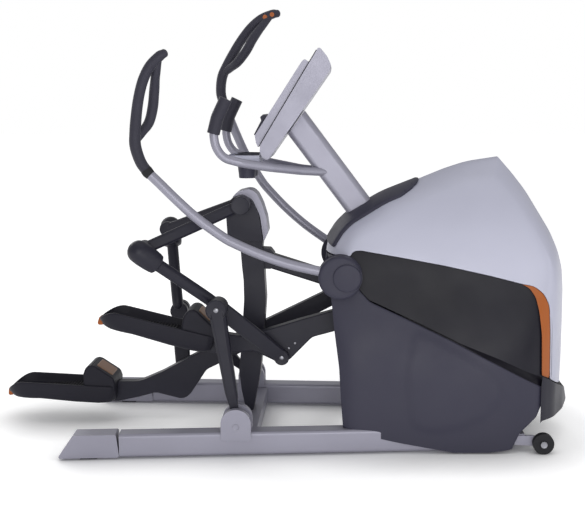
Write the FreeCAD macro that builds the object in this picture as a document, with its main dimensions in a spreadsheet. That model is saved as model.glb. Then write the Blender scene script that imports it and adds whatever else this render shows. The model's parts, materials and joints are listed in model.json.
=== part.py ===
import FreeCAD, Part
import math
import os
import re
from FreeCAD import Vector, Rotation, Placement

# Elliptical trainer, modelled in millimetres. +X points from the pedals to the drive housing,
# +Z is up and the user's right side is -Y. Outlines are laid out from the base pivot of the
# rocker legs, and the finished pieces are shifted so that the origin is the centre of the footprint.

doc = FreeCAD.newDocument("elliptical_trainer")
sheet = doc.addObject("Spreadsheet::Sheet", "Sheet")

SIZES = {
    "footprint_shift": -151.5, "rail_half_spacing": 330.0, "rail_splay": 3.6, "rail_width": 76.0,
    "rail_low": 8.0, "rail_top": 92.0, "rail_wall": 4.0, "rail_rear": -413.0, "rail_front": 985.0,
    "foot_length": 60.0, "corner_round": 12.0,
    "base_pivot_x": 5.0, "base_pivot_z": 114.0, "rocker_length": 416.8, "rocker_angle": 99.9,
    "rocker_swing": 33.8, "head_pivot_x": 10.5, "head_pivot_z": 884.6, "upper_arm_length": 365.0,
    "link_upper": 338.1, "link_lower": 306.5, "link_bend": 2.54,
    "arm_angle": 17.2, "arm_swing": 11.0, "arm_reach": 800.0, "arm_rise": 60.0,
    "arm_inner": 95.0, "arm_width": 50.0, "knuckle_inner": 318.0, "knuckle_width": 66.0,
    "knuckle_radius": 42.0, "knuckle_pin": 26.0, "mid_inner": 222.0, "mid_width": 36.0, "knee_plate": 20.0,
    "running_gap": 2.0, "link_tube_radius": 20.0, "upper_tube_radius": 17.5,
    "rocker_head_width": 40.0, "rocker_base_width": 30.0, "rocker_tube_radius": 26.0,
    "shaft_radius": 12.0, "bore_play": 0.06, "eye_radius": 30.0, "hub_radius": 33.0,
    "column_width": 86.0, "head_width": 150.0, "cover_radius": 54.0, "cover_width": 92.0,
    "cover_slot": 46.0, "mast_width": 104.0, "mast_round": 22.0, "console_width": 300.0,
    "pedal_centre": 120.0, "pedal_width": 170.0, "pedal_wall": 8.0,
    "shell_wall": 4.0, "recess_depth": 9.0, "housing_half": 348.0,
    "handle_hub_x": 402.0, "handle_hub_z": 644.0, "handle_tube_radius": 17.5,
    "handle_hub_inner": 274.0, "handle_hub_width": 50.0, "handle_swing": 23.0,
    "grip_front_y": 247.0,
    "grip_radius": 18.5, "grip_front_radius": 15.0, "bar_radius": 16.0, "bar_grip_radius": 23.0,
    "button_radius": 9.0, "button_height": 7.0, "button_travel": 1.5,
    "wheel_radius": 38.0, "wheel_width": 26.0, "wheel_x": 1114.0, "wheel_inner": 313.0,
    "spindle_radius": 15.0,
    "axle_radius": 8.0, "crank_shaft_radius": 17.5, "crank_arm_inner": 62.0,
    "crank_arm_thick": 20.0, "pulley_radius": 150.0, "flywheel_radius": 165.0,
    "flywheel_x": 985.0, "flywheel_z": 430.0, "belt_pulley_radius": 36.0, "belt_width": 24.0,
}
for row, (alias, size) in enumerate(SIZES.items(), start=1):
    sheet.set("A%d" % row, alias)
    sheet.set("B%d" % row, str(size))
    sheet.setAlias("B%d" % row, alias)
doc.recompute()

UP = Vector(0, 0, 1)
ACROSS = Vector(0, 1, 0)
RIGHT, LEFT = -1, 1
SIDES = {"right": RIGHT, "left": LEFT}


def size(alias):
    """A driving dimension read back from the sheet."""
    return float(sheet.get(alias))


def bind(item, **formulas):
    """Tie properties to sheet cells; words in a formula that are aliases become cell references."""
    for prop, formula in formulas.items():
        linked = re.sub(r"[a-z][a-z_]+", lambda m: "Sheet." + m.group() if m.group() in SIZES
                        else m.group(), str(formula))
        item.setExpression(prop.replace("__", "."), linked)


def turned(x, z, degrees, y=0.0):
    """A placement whose XZ plane is turned anticlockwise, seen with +X to the right and +Z up."""
    return Placement(Vector(x, y, z), Rotation(Vector(0, -1, 0), degrees))


def spin(point, degrees):
    """Turn an (x, z) pair anticlockwise about its origin."""
    c, s = math.cos(math.radians(degrees)), math.sin(math.radians(degrees))
    return (point[0] * c - point[1] * s, point[0] * s + point[1] * c)


def heading(start, end):
    return math.degrees(math.atan2(end[1] - start[1], end[0] - start[0]))


def corner_arc(before, corner, after, radius):
    """Tangent points and middle of the arc that rounds one corner."""
    back, on = (before - corner), (after - corner)
    half = back.getAngle(on) / 2
    reach = min(radius / math.tan(half), 0.49 * back.Length, 0.49 * on.Length)
    real = reach * math.tan(half)
    bisector = (back.normalize() + on.normalize()).normalize()
    middle = corner + bisector * (real / math.sin(half) - real)
    return corner + back * reach, middle, corner + on * reach


def edges_along(points, radius, closed):
    """Lines joined by tangent arcs through a list of corners, as sketch geometry."""
    count = len(points)
    radii = radius if isinstance(radius, list) else [radius] * count
    arcs = {}
    for i in range(count):
        ends = not closed and i in (0, count - 1)
        if ends or radii[i] <= 0:
            arcs[i] = (points[i], None, points[i])
            continue
        before, after = points[i - 1], points[(i + 1) % count]
        if (points[i] - before).cross(after - points[i]).Length < 1e-6:
            arcs[i] = (points[i], None, points[i])
        else:
            arcs[i] = corner_arc(before, points[i], after, radii[i])
    made = []
    for i in range(count):
        if arcs[i][1] is not None:
            made.append(Part.Arc(*arcs[i]))
        if closed or i < count - 1:
            start, end = arcs[i][2], arcs[(i + 1) % count][0]
            if (end - start).Length > 1e-4:
                made.append(Part.LineSegment(start, end))
    return made


def outline_in(sketch, outline, radius=0.0):
    """Draw a closed outline of (x, z) corners, rounded, in a sketch."""
    points = [Vector(x, z, 0) for x, z in outline]
    for edge in edges_along(points, radius, True):
        if isinstance(edge, Part.Arc):
            shape = edge.toShape()
            edge = Part.ArcOfCircle(shape.Curve, *shape.ParameterRange)
        sketch.addGeometry(edge, False)


def plane_of(body, role):
    return next(f for f in body.Origin.OriginFeatures if f.Role == role)


def slab(name, outline, start, depth, radius=0.0):
    """A body padded across the machine: a side outline from y = start to y = start + depth."""
    body = doc.addObject("PartDesign::Body", name)
    sketch = body.newObject("Sketcher::SketchObject", name + "_outline")
    sketch.AttachmentSupport = [(plane_of(body, "XZ_Plane"), "")]
    sketch.MapMode = "FlatFace"
    bind(sketch, AttachmentOffset__Base__z="-(%s)" % start)
    outline_in(sketch, outline, radius)
    pad = body.newObject("PartDesign::Pad", name + "_pad")
    pad.Profile = sketch
    pad.Reversed = True
    bind(pad, Length=depth)
    body.Tip = pad
    return body


def drum(name, x, z, start, length, radius):
    """A round bar or disc lying across the machine; every size is a formula or a number."""
    bar = doc.addObject("Part::Cylinder", name)
    bar.Placement = Placement(Vector(), Rotation(Vector(1, 0, 0), -90))
    bind(bar, Radius=radius, Height=length, Placement__Base__x=x, Placement__Base__y=start,
         Placement__Base__z=z)
    return bar


def box(name, low, high):
    """A plain block between two corners."""
    block = doc.addObject("Part::Box", name)
    block.Placement.Base = Vector(*low)
    block.Length, block.Width, block.Height = [b - a for a, b in zip(low, high)]
    return block


def tube(name, route, radius, bend=60.0):
    """A round bar swept along straight runs joined by tangent arcs."""
    points = [Vector(*p) for p in route]
    wire = Part.Wire([edge.toShape() for edge in edges_along(points, bend, False)])
    spine = doc.addObject("Part::Feature", name + "_route")
    spine.Shape = wire
    ring = doc.addObject("Part::Circle", name + "_section")
    ring.Placement = Placement(points[0], Rotation(UP, points[1] - points[0]))
    bind(ring, Radius=radius)
    sweep = doc.addObject("Part::Sweep", name)
    sweep.Sections = [ring]
    sweep.Spine = (spine, ["Edge%d" % (i + 1) for i in range(len(wire.Edges))])
    sweep.Solid = True
    sweep.Frenet = False
    return sweep


def bar_between(name, start, end, width, thick, round_by=0.0):
    """A straight flat bar: width lies in the side view, thick mostly across the machine."""
    a, b = Vector(*start), Vector(*end)
    along = (b - a).normalize()
    out = (ACROSS - along * ACROSS.dot(along)).normalize()
    rise = along.cross(out)
    matrix = FreeCAD.Matrix(along.x, out.x, rise.x, a.x, along.y, out.y, rise.y, a.y,
                            along.z, out.z, rise.z, a.z, 0, 0, 0, 1)
    block = doc.addObject("Part::Box", name)
    block.Length, block.Width, block.Height = (b - a).Length, thick, width
    block.Placement = Placement(matrix).multiply(Placement(Vector(0, -thick / 2, -width / 2), Rotation()))
    if not round_by:
        return block
    long_edges = [i + 1 for i, e in enumerate(block.Shape.Edges) if abs(e.Length - (b - a).Length) < 1e-6]
    return rounded(name + "_rounded", block, long_edges, round_by)


def rounded(name, base, edges, radius):
    fillet = doc.addObject("Part::Fillet", name)
    doc.recompute()
    fillet.Base = base
    fillet.Edges = [(i, radius, radius) for i in edges]
    return fillet


def fused(name, parts):
    whole = doc.addObject("Part::MultiFuse", name)
    whole.Shapes = parts
    whole.Refine = True
    return whole


def cut(name, base, *tools):
    result = doc.addObject("Part::Cut", name)
    result.Base = base
    result.Tool = tools[0] if len(tools) == 1 else fused(name + "_tools", list(tools))
    return result


def common(name, *parts):
    result = doc.addObject("Part::MultiCommon", name)
    result.Shapes = list(parts)
    return result


def group(name, parts):
    """Separate solids of one kind that share a node."""
    bundle = doc.addObject("Part::Compound", name)
    bundle.Links = parts
    return bundle


def handed(name, source, place=None):
    """The right and left copies of a piece that is drawn once, on the left, at its own origin."""
    other = doc.addObject("Part::Mirroring", name + "_mirrored")
    other.Source, other.Normal = source, ACROSS
    copies = {"left": group(name + "_left", [source]), "right": group(name + "_right", [other])}
    for side, item in copies.items():
        item.Placement = place(side) if place else Placement()
        keep("%s_%s" % (name, side), item)


def across(side, inner, width):
    """Start of a layer that runs outward from y = inner on the given side."""
    return inner if side == LEFT else -(inner + width)


PIECES = {}


def keep(node, item):
    """File an object as a finished piece of the machine."""
    item.Label = node
    PIECES[node] = item
    return item


# ---- linkage points, worked out from the driving lengths --------------------------------------

def meeting(centre_a, reach_a, centre_b, reach_b, turn):
    """Where two circles cross; turn chooses the side of the line from a to b."""
    span = math.dist(centre_a, centre_b)
    along = (reach_a ** 2 - reach_b ** 2 + span ** 2) / (2 * span)
    aside = math.sqrt(reach_a ** 2 - along ** 2)
    ux, uz = (centre_b[0] - centre_a[0]) / span, (centre_b[1] - centre_a[1]) / span
    return (centre_a[0] + along * ux - turn * aside * uz, centre_a[1] + along * uz + turn * aside * ux)


def linkage(side):
    """Side-view points of one leg: the right foot is forward, the left foot is back."""
    forward = side == RIGHT
    base = (size("base_pivot_x"), size("base_pivot_z"))
    head = (size("head_pivot_x"), size("head_pivot_z"))
    leg = size("rocker_angle") + (0 if forward else size("rocker_swing"))
    step = spin((size("rocker_length"), 0), leg)
    mid = (base[0] + step[0], base[1] + step[1])
    top = meeting(mid, size("link_upper"), head, size("upper_arm_length"), 1)
    link = heading(mid, top)
    drop = spin((size("link_lower"), 0), link + 180 - size("link_bend"))
    knee = (mid[0] + drop[0], mid[1] + drop[1])
    bar = size("arm_angle") + (0 if forward else size("arm_swing"))
    reach = spin((size("arm_reach"), size("arm_rise")), bar)
    pin = (knee[0] + reach[0], knee[1] + reach[1])
    return {"base": base, "head": head, "mid": mid, "top": top, "knee": knee, "pin": pin,
            "rocker": leg, "link": link, "arm": bar, "upper": heading(head, top)}


LEGS = {name: linkage(side) for name, side in SIDES.items()}
CRANK = tuple((LEGS["right"]["pin"][i] + LEGS["left"]["pin"][i]) / 2 for i in (0, 1))
CRANK_THROW = math.dist(LEGS["right"]["pin"], LEGS["left"]["pin"]) / 2
CRANK_ANGLE = heading(LEGS["left"]["pin"], LEGS["right"]["pin"])


# ---- base frame -------------------------------------------------------------------------------

def rails():
    """Two splayed box rails with slanted plastic end caps and rubber feet."""
    caps, feet = [], []
    wide, low, top, wall = size("rail_width"), size("rail_low"), size("rail_top"), size("rail_wall")
    rear, front = size("rail_rear"), size("rail_front")
    for name, side in SIDES.items():
        stand = Placement(Vector(0, side * size("rail_half_spacing"), 0),
                          Rotation(UP, -side * size("rail_splay")))
        outer = box("rail_%s_outer" % name, (rear, -wide / 2, low), (front, wide / 2, top))
        inner = box("rail_%s_inner" % name, (rear - 1, wall - wide / 2, low + wall),
                    (front + 1, wide / 2 - wall, top - wall))
        lengthways = [i + 1 for i, e in enumerate(outer.Shape.Edges) if e.Length > 2 * wide]
        soft = rounded("rail_%s_soft" % name, outer, lengthways, size("corner_round"))
        rail = keep("rail_" + name, cut("rail_%s_tube" % name, soft, inner))
        rail.Placement = stand
        lean = [(rear, low), (rear - 10, top), (rear - 160, top), (rear - 219, low)]
        cap = slab("end_cap_" + name, lean, -wide / 2, "rail_width", 6.0)
        cap.Placement = stand
        caps.append(cap)
        for x in (rear - 110, front - 90):
            half = size("foot_length") / 2
            foot = box("foot_%s_%d" % (name, x), (x - half, -half * 0.8, 0), (x + half, half * 0.8, low))
            foot.Placement = stand.multiply(foot.Placement)
            feet.append(foot)
    keep("rail_end_caps", group("end_caps", caps))
    keep("rail_feet", group("feet", feet))


def base_tubes():
    """The cross member under the column and the front tube that carries the transport wheels."""
    reach = size("rail_half_spacing") - size("rail_width") / 2 - 5.0
    block = box("cross_block", (8, -reach, 20), (72, reach, 78))
    keep("cross_member", rounded("cross_soft", block, [9, 10, 11, 12], 10.0))
    x, z, inner = size("wheel_x"), size("wheel_radius"), size("wheel_inner")
    ears = [box("front_bar", (1000, -inner + 12, 24), (1050, inner - 12, 66))]
    plate = [(1010, 28), (1010, 62), (x - 34, 62), (x + 6, z + 16), (x + 15, z), (x, z - 15), (x - 40, 24)]
    for name, side in SIDES.items():
        ears.append(slab("wheel_ear_" + name, plate, across(side, inner - 13, 10), 10, 6.0))
    bore = drum("wheel_bore", x, z, -inner, 2 * inner, "axle_radius")
    keep("front_base_tube", cut("front_tube_bored", fused("front_tube", ears), bore))


def transport_wheels():
    for name, side in SIDES.items():
        x, z = size("wheel_x"), size("wheel_radius")
        start = across(side, size("wheel_inner"), size("wheel_width"))
        disc = drum("wheel_disc_" + name, x, z, start, "wheel_width", "wheel_radius")
        hole = drum("wheel_hole_" + name, x, z, start - 1, "wheel_width + 2", "axle_radius + bore_play")
        keep("transport_wheel_" + name, cut("wheel_" + name, disc, hole))


def column():
    """The rear column, its bearing head, the silver cover on the head and the strut forward."""
    side = [(12, 78), (-4, 160), (-13, 235), (-4, 320), (10, 515), (9, 590), (4, 640), (-3, 745),
            (-45, 745), (-50, 836), (-34, 905), (10, 922), (48, 900), (73, 840), (85, 745), (81, 708),
            (88, 640), (90, 590), (94, 514), (78, 310), (70, 232), (56, 160), (40, 78)]
    rounds = [0, 60, 60, 200, 200, 60, 60, 0, 6, 60, 30, 36, 40, 60, 4, 20, 60, 60, 200, 200, 60, 60, 0]
    head_z = size("head_pivot_z")
    post = slab("column_post", side, "-column_width / 2", "column_width", rounds)
    outline = [(-45, 745), (-50, 836), (-34, 905), (10, 922), (48, 900), (73, 840), (85, 745)]
    head = slab("column_bearing", outline, "-head_width / 2", "head_width", [6, 60, 30, 36, 40, 60, 4])
    bore = drum("head_bore", "head_pivot_x", "head_pivot_z", -100, 200, "shaft_radius")
    keep("center_column", cut("column_bored", fused("column_whole", [post, head]), bore))
    shell = slab("head_cover_block", [(-28, 909), (-8, 930), (27, 939), (48, 937), (66, 920), (84, 882),
                                      (99, 832), (106, 778), (88, 739), (87, 739)],
                 -56, 112, [6, 30, 40, 30, 40, 80, 80, 20, 0, 0])
    inner = slab("head_cover_room", [(-80, 745), (-50, 836), (-34, 905), (10, 922), (48, 900), (75, 840),
                                     (88, 742), (88, 700)], -80, 160, [0, 60, 30, 36, 40, 60, 0, 0])
    keep("column_head_cover", cut("head_cover", shell, inner))
    bracket = slab("strut_bracket", [(82, 634), (80, 712), (112, 710), (127, 690), (122, 640), (112, 632)],
                   -34, 68, [0, 0, 8, 8, 8, 8])
    arm = bar_between("strut_bar", (100, 0, 666), (400, 0, 569.5), 58.0, 50.0, 8.0)
    strut = fused("strut_whole", [bracket, arm])
    keep("column_strut", cut("strut_trimmed", strut, slab("strut_trim", side, -60, 120, rounds)))


def rocker_covers():
    """Silver domes over the rails; each is slotted for the swinging leg and bored for its axle."""
    covers = []
    x, z, r = size("base_pivot_x"), size("base_pivot_z"), size("cover_radius")
    member_reach = size("rail_half_spacing") - size("rail_width") / 2 - 4.5
    for name, side in SIDES.items():
        middle = side * size("rail_half_spacing")
        dome = slab("dome_" + name, [(x - r, 62), (x - r, 124 + r), (x + r, 124 + r), (x + r, 62)],
                    middle - size("cover_width") / 2, "cover_width", [14, r - 0.5, r - 0.5, 14])
        slot = box("dome_slot_" + name, (x - 2 * r, middle - size("cover_slot") / 2, 60),
                   (x + 2 * r, middle + size("cover_slot") / 2, 124 + 2 * r))
        hug_half = size("rail_width") / 2 + 3.6
        hug = box("dome_hug_" + name, (x - 2 * r, middle - hug_half, 0),
                  (x + 2 * r, middle + hug_half, size("rail_top")))
        member = box("dome_member_" + name, (7, -member_reach, 0), (73, member_reach, 78.5))
        bore = drum("dome_bore_" + name, x, z, middle - 60, 120, "shaft_radius")
        saddle = box("dome_saddle_" + name, (x - r + 4, middle - size("cover_slot") / 2 - 1, size("rail_top")),
                     (x + r - 4, middle + size("cover_slot") / 2 + 1, size("rail_top") + 3))
        covers.append(fused("cover_" + name, [cut("dome_cut_" + name, dome, slot, hug, member, bore), saddle]))
    keep("rocker_covers", group("covers", covers))


def shafts():
    """Steel pins that stay with the frame: head shaft, rocker axles, handle spindles, wheel bolts."""
    pins = [drum("head_shaft", "head_pivot_x", "head_pivot_z", -146, 292, "shaft_radius")]
    x, z, inner = size("wheel_x"), size("wheel_radius"), size("wheel_inner")
    for name, side in SIDES.items():
        middle = side * size("rail_half_spacing")
        pins.append(drum("rocker_axle_" + name, "base_pivot_x", "base_pivot_z", middle - 44, 88,
                         "shaft_radius"))
        shank = drum("wheel_shank_" + name, x, z, across(side, inner - 20, 47), 47, "axle_radius")
        head = drum("wheel_head_" + name, x, z, across(side, inner + 27, 5), 5, "axle_radius + 4")
        pins.append(fused("wheel_bolt_" + name, [shank, head]))
        pins.append(drum("handle_spindle_" + name, "handle_hub_x", "handle_hub_z",
                         across(side, 226, 86), 86, "spindle_radius"))
    keep("pivot_shafts", group("shafts", pins))


# ---- swinging legs ----------------------------------------------------------------------------

def lane(side, near, far):
    """Middle of a layer, measured outward from the machine's centre line."""
    return side * (near + far) / 2


def upper_arms():
    for name, side in SIDES.items():
        leg = LEGS[name]
        (hx, hz), (tx, tz) = leg["head"], leg["top"]
        outer = size("knuckle_inner") - size("knuckle_pin") - size("running_gap")
        hub = drum("upper_hub_" + name, hx, hz, across(side, 77, 66), 66, "hub_radius")
        eye = drum("upper_eye_" + name, tx, tz, across(side, outer - 40, 40), 40, "eye_radius")
        bar = tube("upper_bar_" + name, [(hx, lane(side, 90, 130), hz), (tx, side * (outer - 20), tz)],
                   "upper_tube_radius")
        bore = drum("upper_bore_" + name, hx, hz, -200, 400, "shaft_radius + bore_play")
        keep("upper_arm_" + name, cut("upper_" + name, fused("upper_whole_" + name, [hub, eye, bar]), bore))


def hanging_links():
    """The outer links: a fat knuckle, a round tube down to the rocker and a flat plate to the knee."""
    for name, side in SIDES.items():
        leg = LEGS[name]
        (tx, tz), (mx, mz), (kx, kz) = leg["top"], leg["mid"], leg["knee"]
        inner, mid_in = size("knuckle_inner"), size("mid_inner")
        plate_in = size("arm_inner") + size("arm_width") + size("running_gap")
        top_y = side * (inner + size("knuckle_width") / 2)
        mid_y = side * (mid_in + size("mid_width") / 2)
        knee_y = side * (plate_in + size("knee_plate") / 2)

        def on_link(down, y):
            share = down / size("link_upper")
            return (tx + share * (mx - tx), y, tz + share * (mz - tz))

        neck = on_link(76.0, top_y + 76.0 / size("link_upper") * (mid_y - top_y))
        elbow, stop = [on_link(size("link_upper") - up, mid_y) for up in (60.0, 22.0)]
        parts = [drum("knuckle_" + name, tx, tz, across(side, inner, size("knuckle_width")),
                      "knuckle_width", "knuckle_radius"),
                 bar_between("socket_" + name, (tx, top_y, tz), neck, 66.0, 58.0, 14.0),
                 tube("link_tube_" + name, [neck, elbow, stop], "link_tube_radius", 60.0),
                 drum("knuckle_pin_" + name, tx, tz, across(side, inner - size("knuckle_pin"), 40), 40, 15),
                 drum("link_mid_" + name, mx, mz, across(side, mid_in, size("mid_width")),
                      "mid_width", 36),
                 bar_between("link_plate_" + name, (mx, mid_y, mz), (kx, knee_y, kz), 62.0, 18.0, 6.0),
                 drum("link_knee_" + name, kx, kz, across(side, plate_in, size("knee_plate")),
                      "knee_plate", 27)]
        pin_start = size("arm_inner") + 3
        pin_length = plate_in + 4 - pin_start
        parts.append(drum("knee_pin_" + name, kx, kz, across(side, pin_start, pin_length), pin_length,
                          "shaft_radius"))
        bore = drum("link_bore_" + name, mx, mz, across(side, mid_in - 60, 160), 160,
                    "shaft_radius + bore_play")
        keep("hanging_link_" + name, cut("link_bored_" + name, fused("link_whole_" + name, parts), bore))


def rockers():
    """The lower legs: a blade inside the dome, a round tube and a round head with its pin."""
    for name, side in SIDES.items():
        leg = LEGS[name]
        (bx, bz), (mx, mz) = leg["base"], leg["mid"]
        foot_y = side * size("rail_half_spacing")
        head_in = size("mid_inner") + size("mid_width") + 2 * size("running_gap")
        wide, base_wide = size("rocker_head_width"), size("rocker_base_width")
        head_y = side * (head_in + wide / 2)

        def on_leg(reach):
            share = reach / size("rocker_length")
            return (bx + share * (mx - bx), foot_y + share * (head_y - foot_y), bz + share * (mz - bz))

        parts = [drum("rocker_eye_" + name, bx, bz, foot_y - base_wide / 2, base_wide, 17),
                 bar_between("rocker_blade_" + name, (bx, foot_y, bz), on_leg(112.0), 30.0, 26.0, 4.0),
                 tube("rocker_tube_" + name, [on_leg(84.0), on_leg(size("rocker_length") - 22)],
                      "rocker_tube_radius"),
                 drum("rocker_head_" + name, mx, mz, across(side, head_in, wide), wide, 38)]
        bore = drum("rocker_bore_" + name, bx, bz, foot_y - 60, 120, "shaft_radius + bore_play")
        body = cut("rocker_bored_" + name, fused("rocker_whole_" + name, parts), bore)
        reach = head_in + 4 - size("mid_inner")
        pin = drum("rocker_pin_" + name, mx, mz, across(side, size("mid_inner"), reach), reach,
                   "shaft_radius")
        keep("rocker_" + name, fused("rocker_pinned_" + name, [body, pin]))


ARM_SIDE = [(-225, 152), (-130, 121), (-30, 113), (107, 113), (225, 110), (690, 92), (834, 88),
            (834, 26), (690, 27), (212, 33), (130, 36), (82, 10), (26, -20), (0, -26), (-22, -18),
            (-95, 50), (-165, 66), (-250, 92), (-335, 122), (-470, 190), (-470, 260), (-300, 200)]
ARM_ROUNDS = [60, 120, 80, 60, 90, 0, 30, 30, 0, 60, 40, 30, 18, 22, 18, 30, 120, 120, 60, 0, 0, 0]
PEDAL_SIDE = [(-694, 20), (-672, 56), (-648, 68), (-385, 68), (-383, 112), (-362, 138), (-341, 137),
              (-262, 82), (-262, -24), (-400, -20), (-560, 14), (-680, 12)]
PEDAL_ROUNDS = [5, 14, 20, 0, 14, 14, 10, 10, 12, 60, 60, 5]
PEDAL_TILT = -26.5


def upright_edges(item, x):
    """Numbers of the vertical edges that stand on one x."""
    doc.recompute()
    return [i + 1 for i, e in enumerate(item.Shape.Edges)
            if abs(e.BoundBox.XMin - x) < 1e-3 and abs(e.BoundBox.XMax - x) < 1e-3
            and e.BoundBox.ZLength > 100 and e.BoundBox.YLength < 1e-3]


def pedal_arms():
    """Knee arms with their front bars, and the deep foot trays bolted on behind."""
    for name, side in SIDES.items():
        leg = LEGS[name]
        knee = turned(leg["knee"][0], leg["knee"][1], leg["arm"])
        outer_y = side * size("pedal_centre") - size("pedal_width") / 2
        far_y = outer_y + size("pedal_width")
        envelope = slab("pedal_block_" + name, PEDAL_SIDE, outer_y, "pedal_width", PEDAL_ROUNDS)
        plan = box("pedal_plan_" + name, (-700, outer_y, -60), (-255, far_y, 160))
        heel = rounded("pedal_heel_" + name, plan, upright_edges(plan, -700), 58.0)
        toe = rounded("pedal_toe_" + name, heel, upright_edges(heel, -255), 22.0)
        wall = size("pedal_wall")
        well = box("pedal_well_" + name, (-676, outer_y + wall, 34), (-389, far_y - wall, 200))
        hollow = rounded("pedal_hollow_" + name, well, upright_edges(well, -676), 50.0)
        pedal = cut("pedal_tray_" + name, common("pedal_shape_" + name, envelope, toe), hollow)
        pedal.Placement = knee.multiply(turned(0, 0, PEDAL_TILT))
        keep("pedal_" + name, pedal)
        start = across(side, size("arm_inner"), size("arm_width"))
        plate = slab("arm_plate_" + name, ARM_SIDE, start, "arm_width", ARM_ROUNDS)
        blank = slab("arm_trim_" + name, PEDAL_SIDE, outer_y - 5, "pedal_width + 10", PEDAL_ROUNDS)
        blank.Placement = turned(0, 0, PEDAL_TILT)
        over = box("arm_over_" + name, (-700, -300, -20), (-258, 300, 260))
        over.Placement = turned(0, 0, PEDAL_TILT).multiply(over.Placement)
        knee_bore = drum("arm_bore_" + name, 0, 0, start - 1, "arm_width + 2", "shaft_radius + bore_play")
        pin_bore = drum("arm_eye_" + name, "arm_reach", "arm_rise", start - 1, "arm_width + 2", 14)
        arm = cut("arm_" + name, plate, blank, over, knee_bore, pin_bore)
        arm.Placement = knee
        keep("pedal_arm_" + name, arm)


# ---- mast, console and fixed hand bars ---------------------------------------------------------

MAST_SIDE = [(181, 1144), (245, 1230), (489, 904), (596, 764), (511, 705), (404, 846)]


def mast_block(name, grow=0.0):
    """The raked mast with its long edges rounded; grow widens it, for the holes that it passes through."""
    block = slab(name, MAST_SIDE, "-mast_width / 2 - %s" % grow, "mast_width + 2 * %s" % grow)
    doc.recompute()
    long_edges = [i + 1 for i, e in enumerate(block.Shape.Edges)
                  if e.Length > 120 and abs(e.tangentAt(e.FirstParameter).z) > 0.5]
    return rounded(name + "_soft", block, long_edges, size("mast_round"))


def mast():
    keep("mast", mast_block("mast_body"))


def layer(name, start, end, near, far, width):
    """A plate that follows the sloped console face between two depths in front of its seam."""
    (x0, z0), (x1, z1) = start, end
    length = math.dist(start, end)
    nx, nz = -(z1 - z0) / length, (x1 - x0) / length
    outline = [(x0 + nx * near, z0 + nz * near), (x1 + nx * near, z1 + nz * near),
               (x1 + nx * far, z1 + nz * far), (x0 + nx * far, z0 + nz * far)]
    return slab(name, outline, -width / 2, width)


SEAM = ((87.0, 1109.0), (296.0, 1452.0))


def on_seam(share):
    return tuple(a + share * (b - a) for a, b in zip(*SEAM))


def console():
    """Hollow rear shell, dark seam gasket, front bezel, glass display and reading ledge."""
    wide = size("console_width")
    back = slab("console_back_block", [(86, 1107), (297, 1455), (306, 1456), (331, 1426), (345, 1396),
                                       (341, 1376), (114, 1052), (96, 1058), (84, 1082)],
                "-console_width / 2", "console_width", [0, 4, 10, 40, 24, 16, 12, 20, 10])
    room = slab("console_room", [(95, 1113), (292, 1437), (327, 1390), (120, 1068)], 6 - wide / 2, wide - 12,
                [4, 4, 10, 10])
    trim = layer("console_trim", *SEAM, 0.0, 60.0, wide + 20)
    keep("console_back", cut("console_shell", back, room, trim))
    keep("console_gasket", layer("console_seam", on_seam(0.01), on_seam(0.99), 0.0, 3.0, wide - 4))
    bezel = slab("bezel_block", [(66, 1142), (237, 1405), (248, 1417), (270, 1404), (250, 1371), (80, 1094),
                                 (70, 1116)], 8 - wide / 2, wide - 16, [6, 10, 8, 0, 0, 0, 10])
    behind = layer("bezel_trim", on_seam(-0.5), on_seam(1.5), 3.0, -80.0, wide + 20)
    glass_room = layer("glass_room", (122, 1229), (222, 1383), -2.0, 3.0, wide - 70)
    keep("console_bezel", cut("bezel", bezel, behind, glass_room))
    keep("console_display", layer("display", (122.3, 1229.46), (221.7, 1382.54), -1.95, 1.0, wide - 71))
    ledge = slab("ledge", [(60, 1143), (88, 1196), (84, 1208), (96, 1219), (108, 1212), (108, 1206.6),
                           (66.5, 1142)], -110, 220, [4, 4, 4, 4, 0, 0, 0])
    keep("reading_ledge", cut("ledge_trimmed", ledge, slab("ledge_trim", [(48.7, 1115.7), (236.8, 1405), (300, 1300)],
                                                           -150, 300)))


def bar_route(side):
    """Centre line of a fixed hand bar from inside the mast round to the end of its grip."""
    return [(330, side * 34, 1002), (230, side * 72, 1009), (120, side * 150, 1026), (24, side * 196, 1044),
            (-42, side * 205, 1062), (-70, side * 205, 1102), (-77, side * 205, 1150),
            (-62, side * 205, 1208), (-34, side * 205, 1266)]


def hand_bars():
    bars, grips = [], []
    for name, side in SIDES.items():
        route = bar_route(side)
        bar = tube("hand_bar_" + name, route, "bar_radius", 90.0)
        bars.append(cut("hand_bar_end_" + name, bar, mast_block("hand_bar_mast_" + name)))
        sleeve = tube("hand_grip_" + name, [route[-3], route[-2], (-30, side * 205, 1274)],
                      "bar_grip_radius", 90.0)
        core = tube("hand_grip_core_" + name, [(-70, side * 205, 1102)] + route[-3:], "bar_radius", 90.0)
        grips.append(cut("hand_sleeve_" + name, sleeve, core))
    keep("stationary_bars", group("hand_bars", bars))
    keep("stationary_grips", group("hand_grips", grips))


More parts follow.
